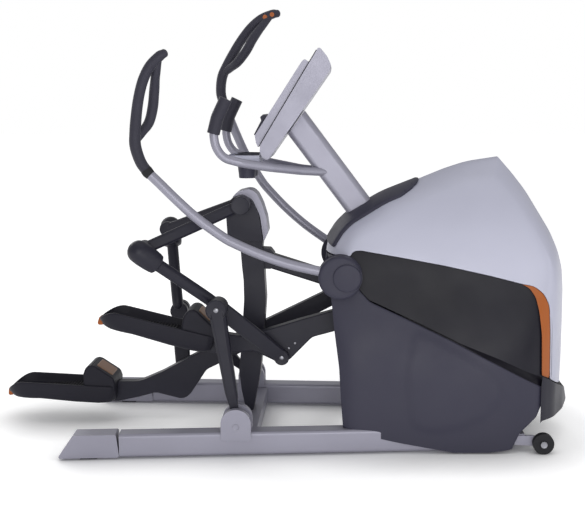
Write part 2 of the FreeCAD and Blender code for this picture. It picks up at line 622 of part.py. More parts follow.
def tray():
    """A shallow shelf below the console with two tapered cup holders hung in it."""
    shelf = box("shelf", (-40, -125, 1044), (82, 125, 1068))
    wells, cups = [], []
    for name, side in SIDES.items():
        middle = Vector(30, side * 62, 0)
        hole = doc.addObject("Part::Cylinder", "cup_hole_" + name)
        hole.Radius, hole.Height = 40.0, 40
        hole.Placement.Base = middle + Vector(0, 0, 1036)
        wells.append(hole)
        outer = doc.addObject("Part::Cone", "cup_outer_" + name)
        outer.Radius1, outer.Radius2, outer.Height = 30.0, 39.5, 86
        inner = doc.addObject("Part::Cone", "cup_inner_" + name)
        inner.Radius1, inner.Radius2, inner.Height = 26.0, 36.0, 86
        rim = doc.addObject("Part::Cylinder", "cup_rim_" + name)
        rim.Radius, rim.Height = 46.0, 3
        rim_hole = doc.addObject("Part::Cylinder", "cup_mouth_" + name)
        rim_hole.Radius, rim_hole.Height = 36.0, 5
        outer.Placement.Base = middle + Vector(0, 0, 982)
        inner.Placement.Base = middle + Vector(0, 0, 986)
        rim.Placement.Base = middle + Vector(0, 0, 1068)
        rim_hole.Placement.Base = middle + Vector(0, 0, 1067)
        cups.append(cut("cup_" + name, fused("cup_body_" + name, [outer, rim]), inner, rim_hole))
    wall = size("console_width")
    behind = layer("shelf_trim", on_seam(-0.6), on_seam(1.0), 6.0, -120.0, wall)
    pocket = box("shelf_pocket", (-34, -119, 1058), (-8, 119, 1080))
    keep("accessory_tray", cut("shelf_cut", rounded("shelf_soft", shelf, [1, 3], 24.0), pocket, *wells))
    keep("cup_holders", group("cups", cups))


# ---- moving handles ----------------------------------------------------------------------------

HANDLE_ROUTE = [(0, 0), (-94, 21), (-199, 45), (-299, 78), (-393, 119), (-443, 147), (-530, 211),
                (-598, 273), (-662, 337), (-698.5, 372.5)]
GRIP_REAR = [(-699, 373), (-724, 410), (-741, 466), (-740, 520), (-733, 586), (-722, 646), (-706, 698),
             (-682, 742), (-650, 774), (-630, 786)]
GRIP_FRONT = [(-745, 478), (-722, 512), (-700, 546), (-686, 600), (-679, 655), (-668, 712), (-650, 772)]
BUTTONS = {"up": (-649, 772), "down": (-671, 752)}


def handle_place(name):
    """Handles are drawn as the right one stands; the left one is half a stride further round."""
    turn = 0.0 if name == "right" else -size("handle_swing")
    return turned(size("handle_hub_x"), size("handle_hub_z"), turn)


def handles():
    """Long curved levers with looped grips, each turning on a spindle at the housing's side."""
    inner, wide = size("handle_hub_inner"), size("handle_hub_width")
    lever_y, front_y = inner + wide / 2, size("grip_front_y")
    boss = drum("handle_boss", -24, 0, "handle_hub_inner", "handle_hub_width", 76)
    cap = drum("handle_cap", 0, 0, inner + wide, 5, 50)
    lever = tube("handle_lever", [(x, lever_y, z) for x, z in HANDLE_ROUTE], "handle_tube_radius", 400.0)
    bore = drum("handle_bore", 0, 0, inner - 1, 41, "spindle_radius + bore_play")
    hub = cut("handle_hub_bored", fused("handle_hub", [boss, cap]), bore)
    lever = cut("lever", lever, drum("lever_clear", 0, 0, inner - 1, 70, 30))
    handed("handlebar", fused("handlebar_whole", [hub, lever]), handle_place)
    rear = tube("grip_rear", [(x, lever_y, z) for x, z in GRIP_REAR], "grip_radius", 120.0)
    slide = (front_y - lever_y) / 3
    depths = [lever_y, lever_y + slide, front_y, front_y, front_y, lever_y + slide, lever_y]
    front = tube("grip_front", [(x, y, z) for (x, z), y in zip(GRIP_FRONT, depths)],
                 "grip_front_radius", 60.0)
    face = lever_y - size("grip_radius")
    depth, travel = size("button_height") + 3.0, size("button_travel")
    wells = []
    for word, (x, z) in BUTTONS.items():
        wells.append(drum("button_well_" + word, x, z, face - 6, depth + 6, "button_radius + 0.3"))
        handed("thumb_button_" + word, drum("button_" + word, x, z, face - 3, depth - travel + 2.5,
                                            "button_radius"), handle_place)
    handed("handle_grip", cut("grip_cut", fused("grip_whole", [rear, front]), lever, *wells), handle_place)


# ---- housing -----------------------------------------------------------------------------------

HULL_SIDE = [(388, 94), (381, 186), (374, 314), (358, 438), (345, 567), (328, 640), (324, 700), (333, 750),
             (366, 802), (404, 841), (537, 920), (670, 973), (772, 1015), (855, 1042), (974, 1060),
             (1027, 1000), (1078, 935), (1122, 863), (1169, 786), (1205, 708), (1225, 640), (1232, 560),
             (1233, 430), (1232, 290), (1228, 195), (1254, 124)]
HULL_FOOT = [(1112, 114), (1078, 64), (1000, 16), (918, 6), (790, 6), (591, 43), (453, 73), (421, 92)]
HULL_SIDE_ROUNDS = [0, 150, 300, 300, 200, 80, 80, 80, 120, 200, 400, 500, 500, 400, 6, 300, 400, 400,
                    300, 300, 200, 300, 500, 300, 20, 6]
HULL_FOOT_ROUNDS = [10, 30, 80, 80, 80, 200, 60, 10]
HULL_PLAN = [(300, 250), (350, 292), (410, 348), (960, 348), (1110, 304), (1160, 262), (1215, 160),
             (1254, 40)]
HULL_PLAN_ROUNDS = [0, 30, 60, 300, 120, 120, 200, 40]
HULL_FRONT = [(348, -60), (348, 200), (338, 320), (302, 450), (262, 590), (236, 720), (196, 850),
              (140, 950), (76, 1024), (30, 1062)]
HULL_FRONT_ROUNDS = [0, 200, 200, 400, 600, 400, 260, 200, 120, 40]


def hull(name, inset):
    """The housing's outer form, or a parallel form inside it: side, plan and front outlines crossed."""
    forms = []

    def prism(word, outline, rounds, turn, along, reach):
        sketch = doc.addObject("Sketcher::SketchObject", "%s_%s_outline" % (name, word))
        outline_in(sketch, outline, rounds)
        sketch.Placement = Placement(Vector(), turn)
        profile = sketch
        if inset:
            profile = doc.addObject("Part::Offset2D", "%s_%s_inset" % (name, word))
            profile.Source, profile.Value, profile.Join = sketch, -inset, 2
        block = doc.addObject("Part::Extrusion", "%s_%s" % (name, word))
        block.Base, block.Dir, block.Solid = profile, along, True
        block.LengthFwd, block.LengthRev = reach
        forms.append(block)

    mirrored = [(x, -y) for x, y in reversed(HULL_PLAN)]
    arch = [(-y, z) for y, z in reversed(HULL_FRONT)]
    half = size("housing_half")
    foot, foot_rounds = HULL_FOOT, HULL_FOOT_ROUNDS
    if inset:
        foot, foot_rounds = [(1254, -60), (388, -60)], [0, 0]
    prism("side", HULL_SIDE + foot, HULL_SIDE_ROUNDS + foot_rounds, Rotation(Vector(1, 0, 0), 90),
          ACROSS, (half, half))
    prism("plan", HULL_PLAN + mirrored, HULL_PLAN_ROUNDS + HULL_PLAN_ROUNDS[::-1], Rotation(), UP,
          (1100, 100))
    prism("front", HULL_FRONT + arch, HULL_FRONT_ROUNDS + HULL_FRONT_ROUNDS[::-1],
          Rotation(Vector(1, 1, 1), 120), Vector(1, 0, 0), (1400, 0))
    return common(name, *forms)


UPPER = [(300, 703), (374, 707), (406, 697), (428, 726), (454, 727), (590, 704), (755, 674), (920, 638),
         (1040, 608), (1078, 601), (1112, 574), (1132, 535), (1138, 433), (1141, 262), (1228, 193),
         (1300, 193), (1300, 1100), (300, 1100)]
UPPER_ROUNDS = [0, 20, 14, 14, 40, 400, 800, 800, 300, 60, 60, 80, 300, 0, 0, 0, 0, 0]
LOWER = [(300, 702), (374, 706), (400, 696), (449, 594), (511, 549), (616, 501), (787, 422), (959, 331),
         (1100, 252), (1106, 240), (1106, -50), (300, -50)]
LOWER_ROUNDS = [0, 20, 20, 30, 100, 400, 600, 600, 0, 0, 0, 0]
RECESS = [(396, 700), (428, 733), (454, 734), (590, 711), (755, 681), (920, 645), (1040, 615), (1084, 607),
          (1118, 580), (1138, 539), (1146, 433), (1149, 262), (1104, 240), (959, 323), (787, 414),
          (616, 493), (511, 541), (444, 586), (416, 640)]
STRIP = [(1039, 606.8), (1077, 599.2), (1110.4, 572.8), (1130.4, 534.4), (1137.4, 433), (1140.4, 263), (1110, 281),
         (1106, 433), (1096, 517), (1084, 565), (1068, 592)]
BUMPER = [(1106.5, 60), (1106.5, 240), (1110, 279), (1141, 262), (1228, 192.6), (1300, 192.6), (1300, 60)]


def housing():
    """Hollow drive housing: silver crown, dark lower sides, sunk side panels, strips and bumper."""
    full = size("housing_half") + 2
    outer, room = hull("hull_outer", 0.0), hull("hull_room", size("shell_wall"))
    skin = cut("hull_skin", outer, room)
    depth = size("recess_depth")
    sunk = cut("hull_sunk", hull("hull_sunk_face", depth), hull("hull_sunk_back", depth + size("shell_wall")))
    strip = cut("hull_strip", hull("hull_strip_face", 2.0), hull("hull_strip_back", depth))
    mast_room = mast_block("mast_hole", 1.5)
    hub_holes = drum("spindle_hole", "handle_hub_x", "handle_hub_z", -400, 800, "spindle_radius + 2")
    wheel_room = box("wheel_room", (960, 292, -10), (1160, 360, 84))
    rear = box("rear_zone", (280, -200, 60), (430, 200, 701))
    strut_hole = box("strut_hole", (280, -27, 553), (430, 27, 630))
    slots = [box("arm_slot_" + n, (280, min(s * 84, s * 156), 372), (440, max(s * 84, s * 156), 580))
             for n, s in SIDES.items()]

    def zone(word, outline, rounds=0.0):
        return slab(word + "_zone", outline, 0.25, full, rounds)

    crown = common("crown", skin, zone("crown", UPPER, UPPER_ROUNDS))
    handed("upper_shroud", cut("crown_cut", crown, mast_room, hub_holes))
    lower = common("lower", skin, zone("lower", LOWER, LOWER_ROUNDS))
    handed("lower_shroud", cut("lower_cut", lower, rear, hub_holes, wheel_room))
    panels = common("panel", sunk, slab("panel_zone", RECESS, -full, 2 * full, 12.0))
    strips = common("strip", strip, slab("strip_zone", STRIP, -full, 2 * full))
    keep("recess_panels", cut("panels_cut", panels, hub_holes))
    keep("accent_strips", strips)
    keep("front_bumper", common("bumper", skin, slab("bumper_zone", BUMPER, -full, 2 * full)))
    back = common("back", skin, slab("back_zone", LOWER, -full, 2 * full, LOWER_ROUNDS),
                  box("back_limit", (280, -199.6, 60), (430, 199.6, 701)))
    keep("rear_panel", cut("back_cut", back, hub_holes, strut_hole, *slots))
    cover = slab("mast_cover_block", [(332, 744), (340, 778), (362, 812), (398, 850), (534, 930),
                                      (640, 980), (660, 982), (674, 970), (560, 880), (420, 800)],
                 -78, 156, [4, 30, 60, 80, 300, 30, 12, 4, 0, 0])
    keep("mast_cover", cut("mast_cover_cut", cover, hull("mast_cover_seat", 0.0), mast_block("cover_hole", 1.5)))


# ---- drive inside the housing ------------------------------------------------------------------

FRAME_SIDE = [(548, 20), (520, 700), (530, 790), (600, 790), (640, 660), (730, 640), (800, 520), (960, 480),
              (1030, 480), (1046, 400), (1046, 66.5), (999.5, 66.5), (999.5, 20), (900, 20), (860, 240), (700, 240), (660, 20)]
FRAME_ROUNDS = [10, 30, 20, 20, 60, 60, 60, 20, 30, 60, 0, 0, 10, 10, 60, 60, 10]


def drive_frame():
    """Two side plates on a floor pan hold the mast, crank and flywheel; two stays hold the handles."""
    plates = []
    for i, start in enumerate((-59.5, 52.5)):
        plates.append(slab("frame_plate_%d" % i, FRAME_SIDE, start, 7.0, FRAME_ROUNDS))
    plates.append(box("frame_pan", (548, -228, 12), (990, 228, 20)))
    x, z = size("handle_hub_x"), size("handle_hub_z")
    for name, side in SIDES.items():
        plates.append(drum("spindle_boss_" + name, x, z, across(side, 204, 22), 22, 22))
        plates.append(bar_between("spindle_stay_" + name, (x, side * 215, z), (598, side * 215, 22), 60, 8))
    cx, cz = CRANK
    bores = [drum("crank_bore", cx, cz, -80, 160, "crank_shaft_radius + bore_play"),
             drum("flywheel_bore", "flywheel_x", "flywheel_z", -80, 160, "axle_radius + bore_play")]
    keep("drive_frame", cut("drive_frame_bored", fused("drive_frame_whole", plates), *bores))


def crank():
    """Crankshaft with an arm and a short pin on each side, half a turn apart, and its pulley."""
    cx, cz = CRANK
    reach = size("crank_arm_inner") + size("crank_arm_thick")
    parts = [drum("crank_shaft_bar", cx, cz, -reach, 2 * reach, "crank_shaft_radius")]
    for name, side in SIDES.items():
        px, pz = LEGS[name]["pin"]
        start = across(side, size("crank_arm_inner"), size("crank_arm_thick"))
        middle = start + size("crank_arm_thick") / 2
        parts.append(bar_between("crank_web_" + name, (cx, middle, cz), (px, middle, pz), 44, 20))
        parts.append(drum("crank_boss_" + name, cx, cz, start, "crank_arm_thick", 34))
        parts.append(drum("crank_end_" + name, px, pz, start, "crank_arm_thick", 28))
        parts.append(drum("crank_pin_" + name, px, pz, across(side, reach, 10), 10, 13))
    keep("crank", fused("crank_whole", parts))
    disc = drum("pulley_disc", cx, cz, -12, "belt_width", "pulley_radius")
    web = drum("pulley_web_a", cx, cz, 4, 20, "pulley_radius - 14")
    other = drum("pulley_web_b", cx, cz, -24, 20, "pulley_radius - 14")
    hub = drum("pulley_hub", cx, cz, -22, 44, 34)
    bore = drum("pulley_bore", cx, cz, -40, 80, "crank_shaft_radius")
    thin = cut("pulley_thin", disc, web, other)
    keep("crank_pulley", cut("pulley_bored", fused("pulley_whole", [thin, hub]), bore))


def flywheel():
    """Heavy rim on a steel axle with a small belt pulley, and the idler that tightens the belt."""
    x, z = "flywheel_x", "flywheel_z"
    rim = drum("flywheel_rim", x, z, -46, 28, "flywheel_radius")
    dish = drum("flywheel_dish", x, z, -50, 12, "flywheel_radius - 40")
    boss = drum("flywheel_boss", x, z, -46, 60, "belt_pulley_radius")
    axle = drum("flywheel_axle", x, z, -66, 132, "axle_radius")
    keep("flywheel", fused("flywheel_whole", [cut("flywheel_dished", rim, dish), boss, axle]))
    ix, iz, radius = idler_place()
    keep("idler_pulley", cut("idler", drum("idler_disc", ix, iz, -12, "belt_width", radius),
                             drum("idler_bore", ix, iz, -13, 26, "axle_radius + bore_play")))
    arm = bar_between("idler_arm", (ix, 32, iz), (ix, 32, 24), 36, 8)
    pin = drum("idler_pin", ix, iz, -14, 50, "axle_radius")
    keep("idler_bracket", fused("idler_bracket_whole", [arm, pin]))


def idler_place():
    """The idler presses on the lower run of the belt from outside, a hair clear of it."""
    (x0, z0), r0 = CRANK, size("pulley_radius")
    x1, z1, r1 = size("flywheel_x"), size("flywheel_z"), size("belt_pulley_radius")
    span = math.dist((x0, z0), (x1, z1))
    tilt = heading((x0, z0), (x1, z1)) - 90 + math.degrees(math.asin((r0 - r1) / span))
    normal = spin((1, 0), tilt)
    radius = 28.0
    share = 0.62
    away = r0 + share * (r1 - r0) + 3.4 + 0.4 + radius
    return (x0 + share * (x1 - x0) + normal[0] * away, z0 + share * (z1 - z0) + normal[1] * away, radius)


def belt():
    """A flat belt round both pulleys, running a hair off each so that they can turn."""
    (x0, z0), r0 = CRANK, size("pulley_radius")
    x1, z1, r1 = size("flywheel_x"), size("flywheel_z"), size("belt_pulley_radius")
    span = math.dist((x0, z0), (x1, z1))
    line = heading((x0, z0), (x1, z1))
    lean = math.degrees(math.acos((r0 - r1) / span))

    def loop(name, grow, start, width):
        body = doc.addObject("PartDesign::Body", name)
        sketch = body.newObject("Sketcher::SketchObject", name + "_outline")
        sketch.AttachmentSupport = [(plane_of(body, "XZ_Plane"), "")]
        sketch.MapMode = "FlatFace"
        sketch.AttachmentOffset.Base = Vector(0, 0, -start)

        def rim(cx, cz, radius, degrees):
            dx, dz = spin((radius + grow, 0), degrees)
            return Vector(cx + dx, cz + dz, 0)

        big = [rim(x0, z0, r0, line + a) for a in (lean, 180, -lean)]
        small = [rim(x1, z1, r1, line + a) for a in (-lean, 0, lean)]
        for arc in (big, small):
            shape = Part.Arc(*arc).toShape()
            sketch.addGeometry(Part.ArcOfCircle(shape.Curve, *shape.ParameterRange), False)
        sketch.addGeometry(Part.LineSegment(big[2], small[0]), False)
        sketch.addGeometry(Part.LineSegment(small[2], big[0]), False)
        pad = body.newObject("PartDesign::Pad", name + "_pad")
        pad.Profile, pad.Reversed, pad.Length = sketch, True, width
        body.Tip = pad
        return body

    keep("drive_belt", cut("belt_band", loop("belt_outer", 3.4, -11, 22), loop("belt_inner", 0.4, -12, 24)))


def brake():
    """Magnet yoke astride the top of the flywheel rim, held up from the frame plate."""
    x, z, r = size("flywheel_x"), size("flywheel_z"), size("flywheel_radius")
    cheeks = [box("brake_cheek_a", (x - 25, -59.5, z + 50), (x + 45, -52.5, z + r + 24)),
              box("brake_cheek_b", (x - 45, -12, z + r - 50), (x + 45, -5, z + r + 24)),
              box("brake_bridge", (x - 45, -59.5, z + r + 10), (x + 45, -5, z + r + 24)),
              box("magnet_a", (x - 35, -52.5, z + r - 42), (x + 35, -48.5, z + r - 4)),
              box("magnet_b", (x - 35, -15.5, z + r - 42), (x + 35, -12, z + r - 4))]
    keep("brake_unit", fused("brake", cheeks))


BUILDERS = [rails, base_tubes, transport_wheels, column, rocker_covers, shafts, upper_arms, hanging_links,
            rockers, pedal_arms, mast, console, hand_bars, tray, handles, housing, drive_frame, crank,
            flywheel, belt, brake]


# ---- assembly ---------------------------------------------------------------------------------

def check():
    """Stop, naming every object that failed and every piece whose shape is unsound."""
    faults = ["%s: %s" % (item.Name, item.State) for item in doc.Objects
              if "Invalid" in item.State or "Error" in item.State]
    for node, item in PIECES.items():
        shape = item.Shape
        if shape.isNull() or not shape.isValid() or not shape.Solids:
            faults.append("unsound piece " + node)
    if faults:
        raise RuntimeError("; ".join(faults))


def export():
    os.makedirs("parts", exist_ok=True)
    for node, item in PIECES.items():
        item.Shape.exportStep("parts/%s.step" % node)


for build in BUILDERS:
    build()
doc.recompute()
shift = Placement(Vector(size("footprint_shift"), 0, 0), Rotation())
for piece in PIECES.values():
    piece.Placement = shift.multiply(piece.Placement)
doc.recompute()
check()
export()
bounds = FreeCAD.BoundBox()
for piece in PIECES.values():
    bounds.add(piece.Shape.BoundBox)
print("%d pieces, %s" % (len(PIECES), bounds))
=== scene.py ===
# %% [markdown]
# An elliptical trainer, dressed for a studio picture.
# The machine itself comes from a CAD model: its parts are already in place, and each of them
# rides on a body that can swing, turn or slide. This lesson adds what makes it look real:
# smooth moulded covers, treads, bolts and procedural finishes.

import json
import math

import bmesh
import bpy
import numpy as np
from mathutils import Matrix, Vector, geometry

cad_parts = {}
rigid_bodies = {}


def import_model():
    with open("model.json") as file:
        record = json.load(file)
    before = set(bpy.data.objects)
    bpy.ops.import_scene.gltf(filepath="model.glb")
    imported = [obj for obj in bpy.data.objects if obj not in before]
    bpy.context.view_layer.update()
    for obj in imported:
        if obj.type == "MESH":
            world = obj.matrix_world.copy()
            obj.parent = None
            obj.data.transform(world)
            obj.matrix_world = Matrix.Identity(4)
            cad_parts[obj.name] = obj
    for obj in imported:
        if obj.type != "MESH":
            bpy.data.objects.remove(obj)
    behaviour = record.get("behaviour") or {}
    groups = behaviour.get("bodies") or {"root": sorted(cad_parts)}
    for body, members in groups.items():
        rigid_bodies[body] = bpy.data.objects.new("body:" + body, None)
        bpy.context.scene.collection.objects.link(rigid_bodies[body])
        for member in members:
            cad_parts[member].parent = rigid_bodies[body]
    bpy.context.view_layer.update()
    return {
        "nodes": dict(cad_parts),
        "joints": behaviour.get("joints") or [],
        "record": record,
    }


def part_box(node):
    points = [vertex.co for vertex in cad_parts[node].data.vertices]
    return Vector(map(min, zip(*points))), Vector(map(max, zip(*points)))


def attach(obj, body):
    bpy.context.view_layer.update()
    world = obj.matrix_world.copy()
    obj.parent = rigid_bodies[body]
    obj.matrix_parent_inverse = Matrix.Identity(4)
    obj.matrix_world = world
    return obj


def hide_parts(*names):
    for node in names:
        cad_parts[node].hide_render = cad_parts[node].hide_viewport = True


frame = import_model()
nodes = frame["nodes"]
SIDES = {"right": -1, "left": 1}

# %% [markdown]
# The machine's own drawing datum is the line through both leg pivots on the floor rails.
# Every outline below is written in millimetres from that line, X forward and Z up, because
# that is how such a cover is drawn. One helper turns a drawing point into scene metres.

# %% The drawing datum
PIVOT_TO_DATUM = 5.0
dome_low, dome_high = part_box("rocker_covers")
DATUM_X = (dome_low.x + dome_high.x) / 2 - PIVOT_TO_DATUM / 1000


def place(x, y, z):
    """A drawing point in millimetres, as a scene point in metres."""
    return Vector((DATUM_X + x / 1000, y / 1000, z / 1000))


print("datum at x =", round(DATUM_X, 4))

# %% [markdown]
# The camera stands four metres from the machine's right side, a little above the console, and
# looks slightly down. A long lens keeps the two rails nearly parallel. The small shift moves
# the picture sideways without turning the camera, so upright lines stay upright.

# %% Camera
eye = bpy.data.objects.new("eye", bpy.data.cameras.new("eye"))
bpy.context.scene.collection.objects.link(eye)
eye.location = place(379, -3958, 1254)
eye.rotation_euler = (math.radians(90 - 8.4), 0, 0)
eye.data.lens, eye.data.sensor_width = 64.0, 36.0
eye.data.shift_x = -0.082
bpy.context.scene.camera = eye
print("camera at", [round(v, 3) for v in eye.location])

# %% [markdown]
# A product studio is mostly white: a pale floor that runs into the distance, a bright surround
# and broad lamps. The lamp above gives the floor its pool of shade, and the low one in front
# lifts the dark plastics just enough to show their shape. The camera sees a white surround,
# while the machine is lit by a dimmer one, so that its colours stay deep.

# %% Studio
class Wiring:
    """Adds nodes to a tree by short calls; sockets are linked, plain values are set."""

    def __init__(self, tree):
        self.tree = tree

    def feed(self, socket, value):
        if isinstance(value, bpy.types.NodeSocket):
            self.tree.links.new(value, socket)
        else:
            socket.default_value = value

    def add(self, kind, inputs=(), **settings):
        node = self.tree.nodes.new(kind)
        for key, value in settings.items():
            setattr(node, key, value)
        for key, value in dict(inputs).items():
            self.feed(node.inputs[key], value)
        return node

    def maths(self, operation, first, second):
        return self.add("ShaderNodeMath", {0: first, 1: second}, operation=operation).outputs[0]

    def fit(self, value, low, high, start=0.3, end=0.7):
        ends = {"Value": value, "From Min": start, "From Max": end, "To Min": low, "To Max": high}
        return self.add("ShaderNodeMapRange", ends).outputs["Result"]


def lamp(name, at, towards, width, height, watts):
    light = bpy.data.lights.new(name, "AREA")
    light.shape, light.size, light.size_y, light.energy = "RECTANGLE", width, height, watts
    item = bpy.data.objects.new(name, light)
    item.location = at
    item.rotation_euler = (Vector(towards) - Vector(at)).to_track_quat("-Z", "Y").to_euler()
    bpy.context.scene.collection.objects.link(item)


lamp("overhead", (0.1, -0.2, 4.2), (0.1, 0.2, 0.5), 3.5, 3.0, 20)
lamp("front_fill", (0.6, -5.0, 1.3), (0.3, 0.0, 0.6), 3.4, 2.4, 75)
lamp("front_side", (4.0, -2.6, 1.8), (0.5, 0.0, 0.7), 1.6, 2.0, 20)
lamp("back_edge", (-2.6, 3.0, 2.4), (0.0, 0.0, 0.8), 2.0, 2.0, 30)

surround = bpy.data.worlds.new("studio")
bpy.context.scene.world = surround
surround.use_nodes = True
sky = Wiring(surround.node_tree)
white = sky.tree.nodes["Background"]
sky.feed(white.inputs["Color"], (1.0, 1.0, 1.0, 1.0))
dim = sky.add("ShaderNodeBackground", {"Strength": 0.62}).outputs["Background"]
seen = sky.add("ShaderNodeLightPath").outputs["Is Camera Ray"]
either = sky.add("ShaderNodeMixShader", {0: seen, 1: dim, 2: white.outputs["Background"]})
sky.feed(sky.tree.nodes["World Output"].inputs["Surface"], either.outputs["Shader"])
bpy.context.scene.view_settings.view_transform = "Standard"
print(len(bpy.data.lights), "lamps")

# %% [markdown]
# Each finish is a small node recipe. A broad noise drifts the colour by a few percent, as
# paint and moulded plastic do; a fine noise drives both the roughness and a shallow bump, so
# that highlights break up at the scale of the real texture. The Bevel node rounds sharp
# edges for the light, and where it disagrees with the true surface there is an edge, which
# gets a trace of wear.

# %% A recipe for finishes
class Recipe(Wiring):
    """The nodes of one finish."""

    def __init__(self, name):
        self.material = bpy.data.materials.new(name)
        self.material.use_nodes = True
        super().__init__(self.material.node_tree)
        self.shader = self.tree.nodes["Principled BSDF"]
        self.coords = self.add("ShaderNodeTexCoord").outputs["Object"]

    def noise(self, scale, detail=3.0, stretch=(1, 1, 1)):
        spread = self.add("ShaderNodeMapping", {"Vector": self.coords, "Scale": stretch})
        inputs = {"Vector": spread.outputs["Vector"], "Scale": scale, "Detail": detail}
        return self.add("ShaderNodeTexNoise", inputs).outputs["Fac"]

    def blend(self, share, first, second):
        inputs = {"Factor": share, "A": first, "B": second}
        return self.add("ShaderNodeMix", inputs, data_type="RGBA").outputs["Result"]

    def edges(self, radius):
        """The rounded normal, and how far it leans from the true one: an edge mask."""
        normal = self.add("ShaderNodeBevel", {"Radius": radius}, samples=4).outputs["Normal"]
        true = self.add("ShaderNodeNewGeometry").outputs["Normal"]
        lean = self.add("ShaderNodeVectorMath", {0: normal, 1: true}, operation="DOT_PRODUCT")
        return normal, self.fit(lean.outputs["Value"], 1.0, 0.0, 0.90, 0.995)

    def bump(self, height, depth, strength, normal):
        node = self.add("ShaderNodeBump", {"Distance": depth, "Strength": strength, "Height": height,
                                           "Normal": normal})
        self.feed(self.shader.inputs["Normal"], node.outputs["Normal"])


def finish(name, colour, rough, grain=900, depth=0.0001, drift=0.08, wear=0.10, edge=0.0015, metal=0.0,
           coat=0.0, sheen=0.0, shine=0.5, stretch=(1, 1, 1)):
    """One finish; drift is how much the colour wanders, wear how light its edges get."""
    recipe = Recipe(name)
    light = (*(min(1.0, c * (1 + drift)) for c in colour), 1.0)
    dark = (*(c * (1 - drift) for c in colour), 1.0)
    worn = (*(c + (0.8 - c) * wear for c in colour), 1.0)
    cloud = recipe.noise(2.2, 4.0)
    fine = recipe.noise(grain, 2.0, stretch)
    normal, edge_mask = recipe.edges(edge)
    body = recipe.blend(recipe.fit(cloud, 0.0, 1.0), dark, light)
    scuffs = recipe.maths("MULTIPLY", edge_mask, recipe.fit(recipe.noise(60), 0.2, 1.0))
    smudge = recipe.fit(recipe.noise(9.0, 5.0), -0.05, 0.06)
    recipe.bump(fine, depth, 0.5, normal)
    looks = {"Base Color": recipe.blend(scuffs, body, worn), "Metallic": metal, "Coat Weight": coat,
             "Roughness": recipe.maths("ADD", recipe.fit(fine, rough - 0.05, rough + 0.05), smudge),
             "Specular IOR Level": shine, "Coat Roughness": 0.12, "Sheen Weight": sheen}
    for key, value in looks.items():
        recipe.feed(recipe.shader.inputs[key], value)
    return recipe.material


# %% [markdown]
# The machine wears four families of finish: satin silver with a faint violet cast, charcoal
# paint and fine-textured plastic, soft black rubber, and small accents in burnt orange and
# copper. The names match the material slots of the record.

# %% The finishes
FINISHES = {
    "silver_paint": finish("silver_paint", (0.275, 0.27, 0.33), 0.38, metal=0.3, depth=0.00003,
                           wear=0.2),
    "silver_plastic": finish("silver_plastic", (0.43, 0.435, 0.53), 0.42, metal=0.1, depth=0.00003,
                             drift=0.03),
    "charcoal_paint": finish("charcoal_paint", (0.0145, 0.014, 0.024), 0.42, depth=0.00006, shine=0.28),
    "charcoal_plastic": finish("charcoal_plastic", (0.030, 0.029, 0.049), 0.50, grain=1400,
                               depth=0.00012, shine=0.30),
    "dark_panel": finish("dark_panel", (0.0055, 0.005, 0.0085), 0.34, depth=0.00003, shine=0.12),
    "orange_trim": finish("orange_trim", (0.33, 0.085, 0.012), 0.38, depth=0.00004, drift=0.05,
                          shine=0.3),
    "display_glass": finish("display_glass", (0.008, 0.009, 0.012), 0.08, depth=0.00001, coat=1.0),
    "soft_grip": finish("soft_grip", (0.027, 0.026, 0.040), 0.62, grain=700, depth=0.0003, sheen=0.1,
                        shine=0.3),
    "rubber": finish("rubber", (0.014, 0.014, 0.017), 0.72, grain=500, depth=0.0003, shine=0.3),
    "steel": finish("steel", (0.30, 0.30, 0.33), 0.32, metal=1.0, grain=300, depth=0.00004,
                    stretch=(1, 12, 1)),
    "inner_frame": finish("inner_frame", (0.02, 0.02, 0.022), 0.5),
    "cast_iron": finish("cast_iron", (0.16, 0.16, 0.165), 0.48, metal=0.8, grain=250, depth=0.0003),
    "pedal_plastic": finish("pedal_plastic", (0.012, 0.0115, 0.019), 0.52, grain=900, depth=0.0002,
                            shine=0.22),
}
# recess_panel is the sunk panel's own tone; the ledges wear the darker dark_panel as painted shade.
recess = finish("recess_panel", (0.0095, 0.009, 0.0145), 0.36, depth=0.00003, shine=0.2, drift=0.3)
copper = finish("copper_pad", (0.22, 0.125, 0.08), 0.45, metal=0.3, drift=0.12)
slots = {part["node"]: part["material_slot"] for part in frame["record"]["subparts"]}
DARKER_SILVER = ("rail_end_caps", "console_back", "console_bezel", "column_head_cover",
                 "rocker_covers")
for name, item in nodes.items():
    item.data.materials.clear()
    item.data.materials.append(FINISHES["silver_paint" if name in DARKER_SILVER else slots[name]])
nodes["front_bumper"].data.materials[0] = FINISHES["charcoal_paint"]
print(len(FINISHES), "finishes on", len(nodes), "nodes")

# %% [markdown]
# The drive housing is a family of moulded covers that share one swelling form. The easiest way
# to get seams that line up is to describe the form once, as a half width for every point of the
# side drawing, and then to cut each cover out of it by its own outline. Blender's constrained
# triangulation fills an outline with small triangles, and each of their corners is lifted to
# the form's surface. A Solidify modifier gives the skin its wall.

# %% Outlines with rounded corners
def rounded_outline(points, radii, step=9.0):
    """A closed outline in drawing millimetres: each corner becomes an arc, long runs are divided."""
    made = []
    count = len(points)
    for i, (here, radius) in enumerate(zip(points, radii)):
        here, before, after = Vector(here), Vector(points[i - 1]), Vector(points[(i + 1) % count])
        back, ahead = before - here, after - here
        turn = math.pi - back.angle(ahead)
        reach = min(radius * math.tan(turn / 2), 0.48 * back.length, 0.48 * ahead.length)
        start, end = here + back.normalized() * reach, here + ahead.normalized() * reach
        pieces = max(1, round(turn * reach / math.tan(turn / 2) / step)) if reach > 0.5 else 0
        made += [(start * (1 - s) ** 2 + here * 2 * s * (1 - s) + end * s ** 2)
                 for s in [k / pieces for k in range(pieces + 1)]] if pieces else [here]
    dense = []
    for here, after in zip(made, made[1:] + made[:1]):
        cuts = max(1, round((after - here).length / step))
        dense += [here.lerp(after, k / cuts) for k in range(cuts)]
    return np.array([tuple(p) for p in dense])


